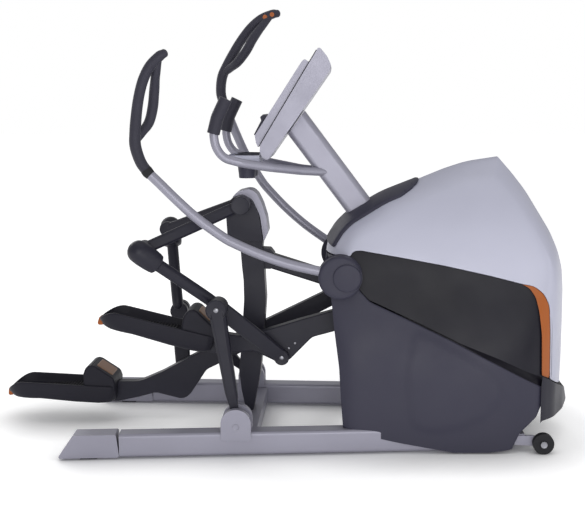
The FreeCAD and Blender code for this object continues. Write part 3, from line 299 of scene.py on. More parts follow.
def distance_to(points, line, closed=True):
    """Distance of each drawing point from the nearest run of a line."""
    start = line if closed else line[:-1]
    run = np.roll(line, -1, axis=0)[:len(start)] - start
    nearest = np.full(len(points), 1e9)
    for a, r in zip(start, run):
        length = max(float(r @ r), 1e-9)
        share = np.clip(((points - a) @ r) / length, 0, 1)
        nearest = np.minimum(nearest, np.hypot(*(points - a - share[:, None] * r).T))
    return nearest


def inside(points, outline):
    """Which drawing points a closed outline holds."""
    crossings = np.zeros(len(points), bool)
    for (x0, z0), (x1, z1) in zip(outline, np.roll(outline, -1, axis=0)):
        if z0 != z1:
            spans = (points[:, 1] > min(z0, z1)) & (points[:, 1] <= max(z0, z1))
            crossings ^= spans & (points[:, 0] < x0 + (points[:, 1] - z0) * (x1 - x0) / (z1 - z0))
    return crossings


# %% [markdown]
# The form is two drawings. One is the silhouette seen from the side, the crest above and the
# foot below. The other is a half width that narrows towards the nose and towards the top;
# the narrower of the two wins, and the surface rolls over into the crest along a round edge.

# %% The housing's form
CREST = [(388, 94), (381, 186), (374, 314), (358, 438), (345, 567), (328, 640), (324, 700), (333, 750),
         (366, 802), (404, 841), (537, 920), (670, 973), (772, 1015), (855, 1042), (974, 1060),
         (1027, 1000), (1078, 935), (1122, 863), (1169, 786), (1205, 708), (1225, 640), (1232, 560),
         (1233, 430), (1232, 290), (1228, 195), (1254, 124)]
FOOT = [(1112, 114), (1078, 64), (1000, 16), (918, 6), (790, 6), (591, 43), (453, 73), (421, 92)]
CREST_ROUNDS = [0, 150, 300, 300, 200, 80, 80, 80, 120, 200, 400, 500, 500, 400, 5, 300, 400, 400,
                300, 300, 200, 300, 500, 300, 20, 6]
FOOT_ROUNDS = [10, 30, 80, 80, 80, 200, 60, 10]
HALF_WIDTH_ALONG = [(300, 250), (350, 288), (390, 322), (430, 340), (600, 348), (960, 346), (1060, 322),
                    (1130, 282), (1190, 214), (1230, 128), (1254, 60)]
HALF_WIDTH_UP = [(0, 348), (200, 348), (320, 338), (450, 302), (590, 262), (720, 236), (850, 196),
                 (950, 140), (1024, 76), (1062, 34)]
CREST_ROLL = 78.0
silhouette = rounded_outline(CREST + FOOT, CREST_ROUNDS + FOOT_ROUNDS)
crest_line = np.array([p for p in silhouette if p[1] > 705 or (p[0] > 1150 and p[1] > 192)])
crest_line = crest_line[np.argsort(np.arctan2(crest_line[:, 1] - 500, crest_line[:, 0] - 760))[::-1]]


def eased(values, table, softness):
    """A table read with straight runs, its corners softened by averaging over a window."""
    keys, results = np.array(table, float).T
    return np.mean([np.interp(values + shift, keys, results)
                    for shift in np.linspace(-softness, softness, 9)], axis=0)


def half_width(points):
    """How far the housing stands out from its middle plane at each point of the side drawing."""
    along = eased(points[:, 0], HALF_WIDTH_ALONG, 26)
    up = eased(points[:, 1], HALF_WIDTH_UP, 50)
    blend = 16.0
    narrow = -blend * np.log(np.exp(-along / blend) + np.exp(-up / blend))
    share = np.clip(distance_to(points, crest_line, closed=False) / CREST_ROLL, 0, 1)
    return np.maximum(narrow * np.sqrt(1 - (1 - share) ** 2), 0.3)


print("silhouette", len(silhouette), "points, crest", len(crest_line))

# %% [markdown]
# A cover's outline and the silhouette are both handed to the triangulation as closed faces,
# and the triangles that lie in both are kept. Extra rings of points just inside the rim and
# just below the crest put the small triangles where the surface turns fastest.

# %% Cutting a cover out of the form
def inner_rings(outline, depths):
    """Points that follow an anticlockwise outline at set depths inside it."""
    run = np.roll(outline, -1, axis=0) - np.roll(outline, 1, axis=0)
    inward = np.stack([-run[:, 1], run[:, 0]], 1) / np.hypot(*run.T)[:, None]
    rings = []
    for depth in depths:
        ring = outline + inward * depth
        rings.append(ring[distance_to(ring, outline) > 0.93 * depth])
    return np.concatenate(rings)


def anticlockwise(outline):
    ahead = np.roll(outline, -1, axis=0)
    area = np.sum(outline[:, 0] * ahead[:, 1] - ahead[:, 0] * outline[:, 1])
    return outline if area > 0 else outline[::-1]


def skin(outline, form, edge, spacing, sides=(-1, 1)):
    """Triangles of a cover on one or both sides; edge is the radius that its rim is rounded by."""
    outline, bounds = anticlockwise(outline), anticlockwise(silhouette)
    spread = np.arange(-60, 1320, spacing)
    grid = np.array([(x + (k % 2) * spacing / 2, z) for k, z in enumerate(spread)
                     for x in spread + 360])
    near_rim = inner_rings(outline, [edge * s for s in (0.2, 0.55, 1.0, 2.2)])
    crest_rings = inner_rings(bounds, [CREST_ROLL * (1 - math.cos(math.radians(a))) for a in
                                       (4, 8, 13, 19, 26, 34, 43, 54, 66, 78)])
    grid = grid[(distance_to(grid, outline) > 0.45 * spacing)
                & (distance_to(grid, bounds) > 0.35 * spacing)]
    points = np.concatenate([near_rim, crest_rings, grid])
    points = points[inside(points, outline) & inside(points, bounds)]
    faces = [list(range(len(outline))), list(range(len(outline), len(outline) + len(bounds)))]
    everything = np.concatenate([outline, bounds, points])
    found = geometry.delaunay_2d_cdt([Vector(p) for p in everything], [], faces, 1, 1e-4, True)
    flat, triangles, owners = np.array([tuple(v) for v in found[0]]), found[2], found[5]
    kept = [t for t, owner in zip(triangles, owners) if 0 in owner and 1 in owner]
    rim = np.clip(distance_to(flat, outline), 0, edge)
    out = form(flat) - (edge - np.sqrt(np.maximum(edge ** 2 - (edge - rim) ** 2, 0)))
    verts, skins = [], []
    for side in sides:
        base = len(verts)
        verts += [place(x, side * max(y, 0.3), z) for (x, z), y in zip(flat, out)]
        skins += [[base + i for i in (t if side < 0 else t[::-1])] for t in kept]
    return verts, skins


def as_piece(name, verts, faces, material):
    """A mesh object at the origin from points and faces, with unused points dropped."""
    mesh = bpy.data.meshes.new(name)
    mesh.from_pydata(verts, [], faces)
    work = bmesh.new()
    work.from_mesh(mesh)
    bmesh.ops.delete(work, geom=[v for v in work.verts if not v.link_faces], context="VERTS")
    work.to_mesh(mesh)
    work.free()
    mesh.materials.append(material)
    mesh.polygons.foreach_set("use_smooth", [True] * len(mesh.polygons))
    item = bpy.data.objects.new(name, mesh)
    bpy.context.scene.collection.objects.link(item)
    return item


def thicken(item, thickness, outward=False):
    wall = item.modifiers.new("wall", "SOLIDIFY")
    wall.thickness, wall.offset = thickness / 1000, 1.0 if outward else -1.0
    wall.use_quality_normals = True


def fit_to(item, body, slot, *replaced):
    """The last step for every piece: what it rides on, and the nodes it stands for; the slot is not
    used.
    """
    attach(item, body)
    if replaced:
        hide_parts(*replaced)


# %% [markdown]
# Every cover is cut from the form. The silver crown wraps over the top; the dark panel is
# sunk behind it, framed in front by an orange strip; the charcoal lower shroud stands proud
# again, with a bevelled ledge along its sloping top, coloured darker than the sunk panel as
# painted shade, and a soft swelling in the middle of its face. A dark saddle collects the mast;
# its rim follows the crest at one depth.

# %% Cover outlines
CROWN = [(280, 706), (374, 710), (406, 700), (428, 729), (454, 730), (590, 707), (755, 677), (920, 641),
         (1040, 611), (1080, 604), (1114, 577), (1135, 536), (1141, 433), (1144, 263), (1228, 195),
         (1320, 195), (1320, 1120), (280, 1120)]
CROWN_ROUNDS = [0, 20, 14, 14, 40, 400, 800, 800, 300, 60, 60, 80, 300, 4, 4, 0, 0, 0]
LOWER = [(280, 702), (374, 706), (400, 696), (447, 590), (485, 550), (615, 491), (786, 410), (959, 321),
         (1099, 246), (1134, 226), (1092, 130), (1030, 78), (983, -20), (280, -20)]
LOWER_ROUNDS = [0, 20, 20, 30, 60, 400, 600, 600, 400, 3, 30, 30, 0, 0]
SUNK = [(380, 705), (420, 745), (1100, 640), (1160, 560), (1160, 262), (1099, 250), (959, 326),
        (786, 414), (615, 495), (480, 555), (400, 640)]
LEDGE = [(545, 527), (617, 502), (788, 440), (961, 372), (1102, 306), (1146, 284), (1136, 222),
         (1099, 243), (959, 318), (786, 407), (615, 488)]
STRIP = [(1036, 611.5), (1079, 604), (1113, 577), (1134, 536), (1140, 433), (1143, 264), (1110, 281),
         (1106, 433), (1096, 517), (1084, 565), (1064, 595)]
SWELL = [(640, 470), (740, 425), (865, 355), (945, 300), (980, 250), (968, 190), (905, 125), (816, 85),
         (700, 66), (620, 100), (600, 300)]
SWELL_RISE, SWELL_RAMP = 5.5, 34.0
LEDGE_FOOT, LEDGE_RISE, LEDGE_RAMP = 26, 22, 42.0
PANEL_SUNK, STRIP_SUNK = 12, 3
ledge_top = np.array(LEDGE[:6])
swell_line = rounded_outline(SWELL, [60, 200, 200, 80, 60, 50, 90, 200, 200, 80, 200])


def lower_form(points):
    """The lower shroud swells gently inside the swoosh line."""
    depth = np.where(inside(points, swell_line), distance_to(points, swell_line), 0)
    share = np.clip(depth / SWELL_RAMP, 0, 1)
    return half_width(points) + SWELL_RISE * share * share * (3 - 2 * share)


def ledge_form(points):
    """The ledge falls from the shroud's face in to the sunk panel."""
    share = np.clip(distance_to(points, ledge_top, closed=False) / LEDGE_RAMP, 0, 1)
    return half_width(points) - LEDGE_FOOT + LEDGE_RISE * share


def sunk_form(points):
    return half_width(points) - PANEL_SUNK


def strip_form(points):
    return half_width(points) - STRIP_SUNK


print("swelling outlined by", len(swell_line), "points")
# %% [markdown]
# With the outlines drawn, each cover is one call: cut it from the form, give it a wall, and say
# which body it rides on and which nodes of the frame it stands for. The panels, ledges and
# strips lie at their own depth under the common form, and the saddle lies on top of it.

# %% Making the covers
COVER_WALL, INSET_WALL = 9, 4
COVER_MESH, INSET_MESH, SADDLE_MESH = 15.0, 13.0, 9.0
crown_line = rounded_outline(CROWN, CROWN_ROUNDS)
lower_line = rounded_outline(LOWER, LOWER_ROUNDS)
for name, side in SIDES.items():
    crown = as_piece("crown_cover_" + name, *skin(crown_line, half_width, 3.0, COVER_MESH, [side]),
                     FINISHES["silver_plastic"])
    thicken(crown, COVER_WALL)
    fit_to(crown, "frame", "silver_plastic", "upper_shroud_" + name)
    lower = as_piece("lower_cover_" + name, *skin(lower_line, lower_form, 4.0, COVER_MESH, [side]),
                     FINISHES["charcoal_plastic"])
    thicken(lower, COVER_WALL)
    fit_to(lower, "frame", "charcoal_plastic", "lower_shroud_" + name)
    print(crown.name, len(crown.data.polygons), lower.name, len(lower.data.polygons), "triangles")

PARTS = [("sunk_panels", SUNK, [0, 0, 60, 90, 20, 20, 0, 0, 0, 0, 0], sunk_form, 1.0, "dark_panel",
          ["recess_panels"]),
         # The ledge's darker dark_panel finish is painted shade along the shroud's lip.
         ("shroud_ledges", LEDGE, [0] * len(LEDGE), ledge_form, 1.5, "dark_panel", []),
         ("orange_strips", STRIP, [0, 40, 50, 60, 200, 3, 3, 200, 120, 60, 30], strip_form, 1.5,
          "orange_trim", ["accent_strips"])]
for word, outline, radii, form, edge, slot, replaced in PARTS:
    paint = recess if word == "sunk_panels" else FINISHES[slot]
    item = as_piece(word, *skin(rounded_outline(outline, radii, 7.0), form, edge, INSET_MESH), paint)
    thicken(item, INSET_WALL)
    fit_to(item, "frame", slot, *replaced)
    print(word, len(item.data.polygons), "triangles")

SADDLE_START, SADDLE_END, SADDLE_DEPTH, SADDLE_TIP = 335, 668, 27, 80
brow = crest_line[(crest_line[:, 0] < 700) & (crest_line[:, 1] > 740)]
rim_x = np.linspace(SADDLE_START, SADDLE_END, 60)
rim_z = np.interp(rim_x, brow[:, 0], brow[:, 1])
slope = np.gradient(rim_z, rim_x)
depth = SADDLE_DEPTH * np.sqrt(np.clip((SADDLE_END - rim_x) / SADDLE_TIP, 0, 1)) / np.hypot(slope, 1)
saddle_rim = list(zip(rim_x + slope * depth, rim_z - depth))
outside = [(690, 1010), (600, 1090), (300, 900), (300, 760)]
saddle_line = rounded_outline(saddle_rim + outside, [0] * (len(saddle_rim) + len(outside)), 5.0)
saddle = as_piece("mast_saddle", *skin(saddle_line, half_width, 5.0, SADDLE_MESH),
                  FINISHES["charcoal_plastic"])
thicken(saddle, COVER_WALL, outward=True)
fit_to(saddle, "frame", "charcoal_plastic", "mast_cover")

# %% [markdown]
# Pieces that swing are drawn in the frame of their own part: the pedal from its knee pin, the
# handle from its hub. One matrix then stands them where they belong at rest, tilt included, and
# their points are moved once, so that the finished object itself stays at the origin.

# %% Part frames
MILLIMETRES = Matrix.Scale(0.001, 4)
ARM_ANGLES = {"right": 17.2, "left": 28.2}
PEDAL_TILT = -26.5
pivots = {joint["name"]: Vector(joint["pos_m"]) * 1000 for joint in frame["joints"] if "pos_m" in joint}
HALF_STRIDE = 23.0


def stand_at(pivot, degrees):
    """From millimetres in a part's own frame to scene metres; degrees turn it anticlockwise."""
    return (Matrix.Translation((pivot.x / 1000, 0, pivot.z / 1000))
            @ Matrix.Rotation(math.radians(-degrees), 4, "Y") @ MILLIMETRES)


def stand(item, matrix):
    """Moves a drawn piece to its place for good and makes all its faces point outwards."""
    work = bmesh.new()
    work.from_mesh(item.data)
    bmesh.ops.remove_doubles(work, verts=work.verts, dist=0.01)
    bmesh.ops.recalc_face_normals(work, faces=work.faces)
    work.to_mesh(item.data)
    work.free()
    item.data.transform(matrix)
    return item


def soften(item, width, segments=3):
    """Rounds the sharp edges and leaves the curved stretches alone."""
    edge = item.modifiers.new("edge", "BEVEL")
    edge.width, edge.segments, edge.limit_method = width / 1000, segments, "ANGLE"
    edge.angle_limit = math.radians(28)
    edge.harden_normals = True


def piece(name, shape, matrix, body, slot, *replaced, soft=0, segments=3, paint=None):
    """A drawn shape's whole way: a mesh, stood in its place, softened, and fitted to its body."""
    item = stand(as_piece(name, *shape, paint or FINISHES[slot]), matrix)
    if soft:
        soften(item, soft, segments)
    fit_to(item, body, slot, *replaced)
    return item


ARM_FRAMES = {name: stand_at(pivots["knee_pivot_" + name], ARM_ANGLES[name]) for name in SIDES}
PEDAL_FRAMES = {name: stand_at(pivots["knee_pivot_" + name], ARM_ANGLES[name] + PEDAL_TILT)
                for name in SIDES}
HANDLE_FRAMES = {"right": stand_at(pivots["handle_pivot_right"], 0),
                 "left": stand_at(pivots["handle_pivot_left"], -HALF_STRIDE)}
for name in SIDES:
    print(name, "knee at", [round(v, 1) for v in pivots["knee_pivot_" + name]])

# %% [markdown]
# A foot pedal is a deep tray with a boat's plan: a round heel behind, straight sides, and a
# hood over the toes. Its wall is one strip of profile carried round the plan, so the tray is
# made of rings: each ring is the plan drawn in by a few millimetres at its own height.

# %% Foot trays
TRAY_BACK, TRAY_FRONT, TRAY_HALF, TRAY_MIDDLE = -697.0, -258.0, 85.0, 120
TRAY_FLOOR, WALL_RISE, WALL_FALL, FALL_START = 34, 42, 0.085, -625
HEEL, TOE = 92.0, 26.0


def quads(rows, count):
    """Faces between rows of points, each row a closed ring of count points."""
    return [(a * count + k, a * count + (k + 1) % count, (a + 1) * count + (k + 1) % count,
             (a + 1) * count + k) for a in range(rows - 1) for k in range(count)]


def end_faces(rows, count):
    return [tuple(range(count))[::-1], tuple(range((rows - 1) * count, rows * count))]


def tray_plan(inset, count=26):
    """The tray's plan, drawn in by inset: a half ellipse behind, rounded corners in front."""
    half, back, front = TRAY_HALF - inset, TRAY_BACK + inset, TRAY_FRONT - inset
    line = [(back + HEEL * (1 - math.cos(a)), half * math.sin(a) ** 0.85)
            for a in [math.pi / 2 * k / count for k in range(count + 1)]]
    line += [(back + HEEL + (front - TOE - back - HEEL) * k / 12, half) for k in range(1, 12)]
    line += [(front - TOE + TOE * math.sin(a), half - TOE + TOE * math.cos(a))
             for a in [math.pi / 2 * k / 8 for k in range(9)]]
    return line + [(u, -w) for u, w in reversed(line[1:])]


def tray_rim(u):
    """Height of the wall's top: it rises round the heel and falls slowly towards the hood."""
    rise = min(1.0, (u - TRAY_BACK) / 75.0)
    return (TRAY_FLOOR + WALL_RISE * math.sin(math.pi / 2 * rise) ** 0.8
            - max(0.0, (u - FALL_START) * WALL_FALL))


def tray_keel(u):
    """Height of the tray's underside."""
    return float(np.interp(u, [-697, -650, -560, -420, -330, -258], [15, 6, 2, -16, -24, -22]))


# Each ring: how far it is drawn in, and its height as a share from keel to rim plus millimetres.
TRAY_RINGS = [(46, 0, 0), (22, 0, 1), (11, 0, 6), (5, 0, 16), (1.5, 0.55, 0), (0, 0.85, 0), (0, 1, -3),
              (1, 1, -0.8), (3, 1, 0), (6, 1, 0), (8, 1, -1), (9, 1, -4), (9.5, 1, -26), (13, 1, -34),
              (20, 1, -36), (46, 1, -36)]


def tray_shell():
    """Verts and faces of a tray; its end rings are folded shut along the middle line."""
    rings = []
    for inset, share, lift in TRAY_RINGS:
        rings.append([(u, w, tray_keel(u) + share * (tray_rim(u) - tray_keel(u)) + lift)
                      for u, w in tray_plan(inset)])
    under, floor = ([(u, 0, v) for u, w, v in rings[end]] for end in (0, -1))
    rings = [under] + rings + [floor]
    return [point for ring in rings for point in ring], quads(len(rings), len(under))


def prism(outline, low, high):
    """A block with a drawn side outline, between two depths."""
    count = len(outline)
    verts = [(x, y, z) for y in (low, high) for x, z in outline]
    return verts, quads(2, count) + end_faces(2, count)


HOOD = [(-384, 30), (-382, 100), (-372, 124), (-356, 134), (-338, 133), (-264, 80), (-257, 56),
        (-262, 16), (-300, 6), (-384, 12)]
PAD = [(-330, 131), (-274, 91), (-268, 78), (-280, 78), (-336, 118)]
HEEL_TIP = [(-703, 12), (-700, 34), (-694, 42), (-684, 30), (-676, 14), (-684, 8), (-698, 6)]
for name, side in SIDES.items():
    body = "pedal_arm_" + name
    matrix = PEDAL_FRAMES[name] @ Matrix.Translation((0, side * TRAY_MIDDLE, 0))
    tray = piece("foot_tray_" + name, tray_shell(), matrix, body, "pedal_plastic", "pedal_" + name)
    piece("toe_hood_" + name, prism(HOOD, -78, 78), matrix, body, "pedal_plastic", soft=16, segments=5)
    piece("toe_pad_" + name, prism(PAD, -50, 50), matrix, body, "orange_trim", soft=5, paint=copper)
    piece("heel_tip_" + name, prism(HEEL_TIP, -17, 17), matrix, body, "orange_trim", soft=3.5)
    print("pedal", name, len(tray.data.polygons), "faces, tilt", ARM_ANGLES[name] + PEDAL_TILT)

# %% [markdown]
# The tread is the same rib again and again, so Geometry Nodes lay it: a row of points along the
# tray, a rounded bar on each, shorter towards the round heel. The tree's inputs are the sizes
# that one would want to change later. The result is turned into a plain mesh for each pedal.

# %% Tread ribs with Geometry Nodes
class Tree(Wiring):
    """A node tree for geometry, with inputs of its own."""

    def __init__(self, name, inputs):
        super().__init__(bpy.data.node_groups.new(name, "GeometryNodeTree"))
        self.ids = {}
        face = self.tree.interface
        for word, kind, value in inputs:
            socket = face.new_socket(word, in_out="INPUT", socket_type="NodeSocket" + kind)
            self.ids[word] = socket.identifier
            if value is not None:
                socket.default_value = value
        face.new_socket("Geometry", in_out="OUTPUT", socket_type="NodeSocketGeometry")
        self.inputs = self.node("NodeGroupInput")

    def node(self, kind, inputs=(), **settings):
        return self.add(kind, inputs, **settings).outputs

    def end(self, instances, material):
        real = self.node("GeometryNodeRealizeInstances", {"Geometry": instances})
        painted = self.node("GeometryNodeSetMaterial", {"Geometry": real["Geometry"],
                                                        "Material": material})
        self.add("NodeGroupOutput", {"Geometry": painted["Geometry"]})


def grow(name, base, tree, **values):
    """Runs a tree on a mesh and returns its result as a plain mesh object."""
    seed = bpy.data.objects.new(name + "_seed", base)
    bpy.context.scene.collection.objects.link(seed)
    modifier = seed.modifiers.new("grow", "NODES")
    modifier.node_group = tree.tree
    for word, value in values.items():
        modifier[tree.ids[word]] = value
    depsgraph = bpy.context.evaluated_depsgraph_get()
    mesh = bpy.data.meshes.new_from_object(seed.evaluated_get(depsgraph))
    mesh.name = name
    bpy.data.objects.remove(seed)
    made = bpy.data.objects.new(name, mesh)
    bpy.context.scene.collection.objects.link(made)
    return made


tread = Tree("tread_ribs", [("Geometry", "Geometry", None), ("Ribs", "Int", 22),
                            ("Pitch", "Float", 11.5), ("Rib_Length", "Float", 132.0),
                            ("Rib_Height", "Float", 3.0)])
row = tread.node("GeometryNodeMeshLine", {"Count": tread.inputs["Ribs"]},
                 mode="OFFSET", count_mode="TOTAL")
where = tread.node("GeometryNodeInputIndex")
along = tread.maths("MULTIPLY", where["Index"], tread.inputs["Pitch"])
spot = tread.node("ShaderNodeCombineXYZ", {"X": along})
placed = tread.node("GeometryNodeSetPosition", {"Geometry": row["Mesh"], "Position": spot["Vector"]})
bar = tread.node("GeometryNodeCurvePrimitiveLine", {"Start": (0, -0.5, 0), "End": (0, 0.5, 0)})
section = tread.node("GeometryNodeCurvePrimitiveCircle", {"Radius": tread.inputs["Rib_Height"],
                                                          "Resolution": 8})
rib = tread.node("GeometryNodeCurveToMesh", {"Curve": bar["Curve"], "Profile Curve": section["Curve"],
                                             "Fill Caps": True})
from_heel = tread.maths("ADD", along, 26.0)
heelward = tread.maths("MINIMUM", tread.maths("DIVIDE", from_heel, 70.0), 1.0)
bow = tread.maths("POWER", heelward, 0.45)
wide = tread.maths("MULTIPLY", tread.inputs["Rib_Length"], bow)
sizes_of = tread.node("ShaderNodeCombineXYZ", {"X": 1.0, "Y": wide, "Z": 1.0})
laid = tread.node("GeometryNodeInstanceOnPoints",
                  {"Points": placed["Geometry"], "Instance": rib["Mesh"], "Scale": sizes_of["Vector"]})
tread.end(laid["Instances"], FINISHES["rubber"])
FIRST_RIB_X, RIBS_UP = -655, 33.5
for name, side in SIDES.items():
    ribs = grow("tread_" + name, bpy.data.meshes.new("tread_seed"), tread)
    first = Matrix.Translation((FIRST_RIB_X, side * TRAY_MIDDLE, RIBS_UP))
    ribs.data.transform(PEDAL_FRAMES[name] @ first)
    fit_to(ribs, "pedal_arm_" + name, "rubber")
    print(ribs.name, len(ribs.data.polygons), "faces")

# %% [markdown]
# A hand lever is a bent steel tube, and its grip is rubber moulded round the end of it with a
# thinner loop in front. A tube whose thickness changes is easiest as a sweep: a smooth line
# through a few points, a round section carried along it, and a domed end.

# %% Levers and grips
def smooth_line(points, radii, cuts=8):
    """A smooth line through points, with a radius that eases from one to the next."""
    ends = [2 * Vector(points[0]) - Vector(points[1])], [2 * Vector(points[-1]) - Vector(points[-2])]
    knots = ends[0] + [Vector(p) for p in points] + ends[1]
    line, widths = [], []
    for i in range(1, len(knots) - 2):
        a, b, c, d = knots[i - 1:i + 3]
        for k in range(cuts):
            s = k / cuts
            line.append(0.5 * (2 * b + (c - a) * s + (2 * a - 5 * b + 4 * c - d) * s ** 2
                               + (3 * b - a - 3 * c + d) * s ** 3))
            widths.append(radii[i - 1] + (radii[i] - radii[i - 1]) * (3 * s * s - 2 * s ** 3))
    return line + [knots[-2]], widths + [radii[-1]]


def sweep(points, radii, sections=28, domes=(0.0, 0.0)):
    """Verts and faces of a round bar along a smooth line; domes say how far its ends stand out."""
    line, widths = smooth_line(points, radii)
    ahead = [(b - a).normalized() for a, b in zip(line, line[1:])]
    ahead.append(ahead[-1])
    stations = list(zip(line, widths, ahead))
    caps = [(math.sin(a), math.cos(a)) for a in (math.radians(d) for d in (88, 75, 60, 45, 30, 15))]
    first, last = domes
    if first:
        stations[:0] = [(line[0] - ahead[0] * first * s, widths[0] * c, ahead[0]) for s, c in caps]
    if last:
        stations += [(line[-1] + ahead[-1] * last * s, widths[-1] * c, ahead[-1])
                     for s, c in caps[::-1]]
    up = Vector((0, 1, 0))
    verts = []
    for spot, width, forward in stations:
        up = (up - forward * up.dot(forward)).normalized()
        across = forward.cross(up)
        verts += [spot + (up * math.cos(a) + across * math.sin(a)) * width
                  for a in [2 * math.pi * k / sections for k in range(sections)]]
    return verts, quads(len(stations), sections) + end_faces(len(stations), sections)


def lathe(profile, sections=72):
    """Verts and faces of a round piece about the Y axis; profile is radius and depth, end to end."""
    verts = [(r * math.cos(a), y, r * math.sin(a)) for r, y in profile
             for a in [2 * math.pi * k / sections for k in range(sections)]]
    return verts, quads(len(profile), sections)


def joined(*shapes):
    """Several shapes as one."""
    verts, faces = [], []
    for more, their_faces in shapes:
        base = len(verts)
        verts += [Vector(v) for v in more]
        faces += [tuple(base + i for i in face) for face in their_faces]
    return verts, faces


LEVER = [(-60, 14), (-94, 21), (-199, 45), (-299, 78), (-393, 119), (-443, 147), (-530, 211),
         (-598, 273), (-662, 337), (-698.5, 372.5)]
GRIP_BACK = [(-698, 372), (-724, 410), (-741, 466), (-740, 520), (-733, 586), (-722, 646), (-706, 698),
             (-682, 742), (-650, 774), (-632, 785)]
GRIP_LOOP = [(-743, 478), (-722, 512), (-700, 548), (-686, 600), (-679, 655), (-668, 712), (-652, 768)]
LOOP_INWARD = [0, 24, 50, 52, 50, 24, 2]
BACK_RADII = [19, 20, 20.5, 20, 19, 18.5, 18.5, 18.5, 18, 15]
LOOP_RADII = [13, 16, 18, 18.5, 18, 16, 12]
COLLAR, COLLAR_RADII = [(-690, 364), (-699, 373), (-706, 383)], [18.6, 20.4, 20.4]
LEVER_RADIUS, LEVER_DEPTH = 17.5, 299.0
HUB = [(0, 271), (79, 271), (80, 272.5), (80, 275), (76, 276), (76, 279), (78, 282), (78, 314),
       (76.5, 319), (73, 322.5), (68, 324), (55, 324.5), (53.5, 324), (52.5, 322), (51.5, 322),
       (50.5, 323), (50, 326), (48.5, 328.5), (45, 329.5), (0, 330.5)]
HUB_OFFSET, HUB_RIM = -24.0, 12
CAP_BACK, CAP_SHOULDER, CAP_RADIUS = 318, 322, 54


def at_depth(line, y):
    return [(x, y, z) for x, z in line]


for name, side in SIDES.items():
    matrix, body, depth = HANDLE_FRAMES[name], "handlebar_" + name, side * LEVER_DEPTH
    piece("lever_" + name, sweep(at_depth(LEVER, depth), [LEVER_RADIUS] * len(LEVER)), matrix, body,
          "silver_paint", "handlebar_" + name)
    drawn = [(r, side * y) for r, y in HUB]
    piece("hub_barrel_" + name, lathe(drawn[:HUB_RIM] + [(0, drawn[HUB_RIM - 1][1])]),
          matrix @ Matrix.Translation((HUB_OFFSET, 0, 0)), body, "charcoal_plastic")
    foot = [(0, side * CAP_BACK), (CAP_RADIUS, side * CAP_BACK), (CAP_RADIUS, side * CAP_SHOULDER)]
    piece("hub_cap_" + name, lathe(foot + drawn[HUB_RIM - 1:]), matrix, body, "charcoal_plastic")
    back = sweep(at_depth(GRIP_BACK, depth), BACK_RADII, domes=(9, 12))
    loop = sweep([(x, depth - side * inward, z) for (x, z), inward in zip(GRIP_LOOP, LOOP_INWARD)],
                 LOOP_RADII)
    grip = piece("hand_grip_" + name, joined(back, loop), matrix, body, "soft_grip",
                 "handle_grip_" + name)
    piece("grip_collar_" + name, sweep(at_depth(COLLAR, depth), COLLAR_RADII), matrix, body, "rubber")
    print(grip.name, len(grip.data.polygons), "faces")

# %% [markdown]
# The legs are pressed and cast bars with faceted sections. A loft joins one eight-sided section
# to the next; each station says where it stands, how wide and how deep the bar is there, and
# how much its corners are cut. The round ends are turned pieces with softened rims. The pivots
# come from the frame's own joints, so the bars meet exactly where the machine bends.

# %% Leg bars
# How far each layer of the leg lies from the machine's middle, and the lengths of two bars.
ARM_HEAD, KNEE_PLATE, LINK, ARM_TOP = 110, 157, 240, 268
ROCKER_NECK, ROCKER_FOOT, KNUCKLE = 282, 330, 351
ROCKER_LENGTH, LINK_LENGTH, ELBOW_REACH, KNUCKLE_INSET = 416.8, 338, 60, 0.042


def at(pivot, depth):
    return Vector((pivot.x, depth, pivot.z))


def loft(stations):
    """Verts and faces of a faceted bar from (point, half width, half depth, chamfer) stations."""
    verts, count, last = [], 8, len(stations) - 1
    for i, (spot, half, deep, cut) in enumerate(stations):
        forward = (stations[min(i + 1, last)][0] - stations[max(i - 1, 0)][0]).normalized()
        depth = (Vector((0, 1, 0)) - forward * forward.y).normalized()
        across = forward.cross(depth)
        corners = [(half, deep - cut), (half - cut, deep), (cut - half, deep), (-half, deep - cut)]
        corners += [(-a, -b) for a, b in corners]
        verts += [spot + across * a + depth * b for a, b in corners]
    return verts, quads(last + 1, count) + end_faces(last + 1, count)


def turned_end(x, z, radius, near, far, soft=4.0):
    """A round end about a pivot between two depths, its rims rounded by soft."""
    middle, half = (near + far) / 2, (far - near) / 2
    rim = [(radius - soft + soft * math.sin(a), half - soft + soft * math.cos(a))
           for a in [math.pi / 2 * k / 4 for k in range(5)]]
    profile = [(0, half)] + rim + [(r, -y) for r, y in reversed(rim)] + [(0, -half)]
    verts, faces = lathe(profile, 56)
    return [Vector((x + a, middle + y, z + b)) for a, y, b in verts], faces


def leg_bar(name, shape, body, soft=2.5, matrix=MILLIMETRES):
    """A painted bar that rides on a body and stands for the CAD node of that name."""
    piece(name, shape, matrix, body, "charcoal_paint", body, soft=soft)


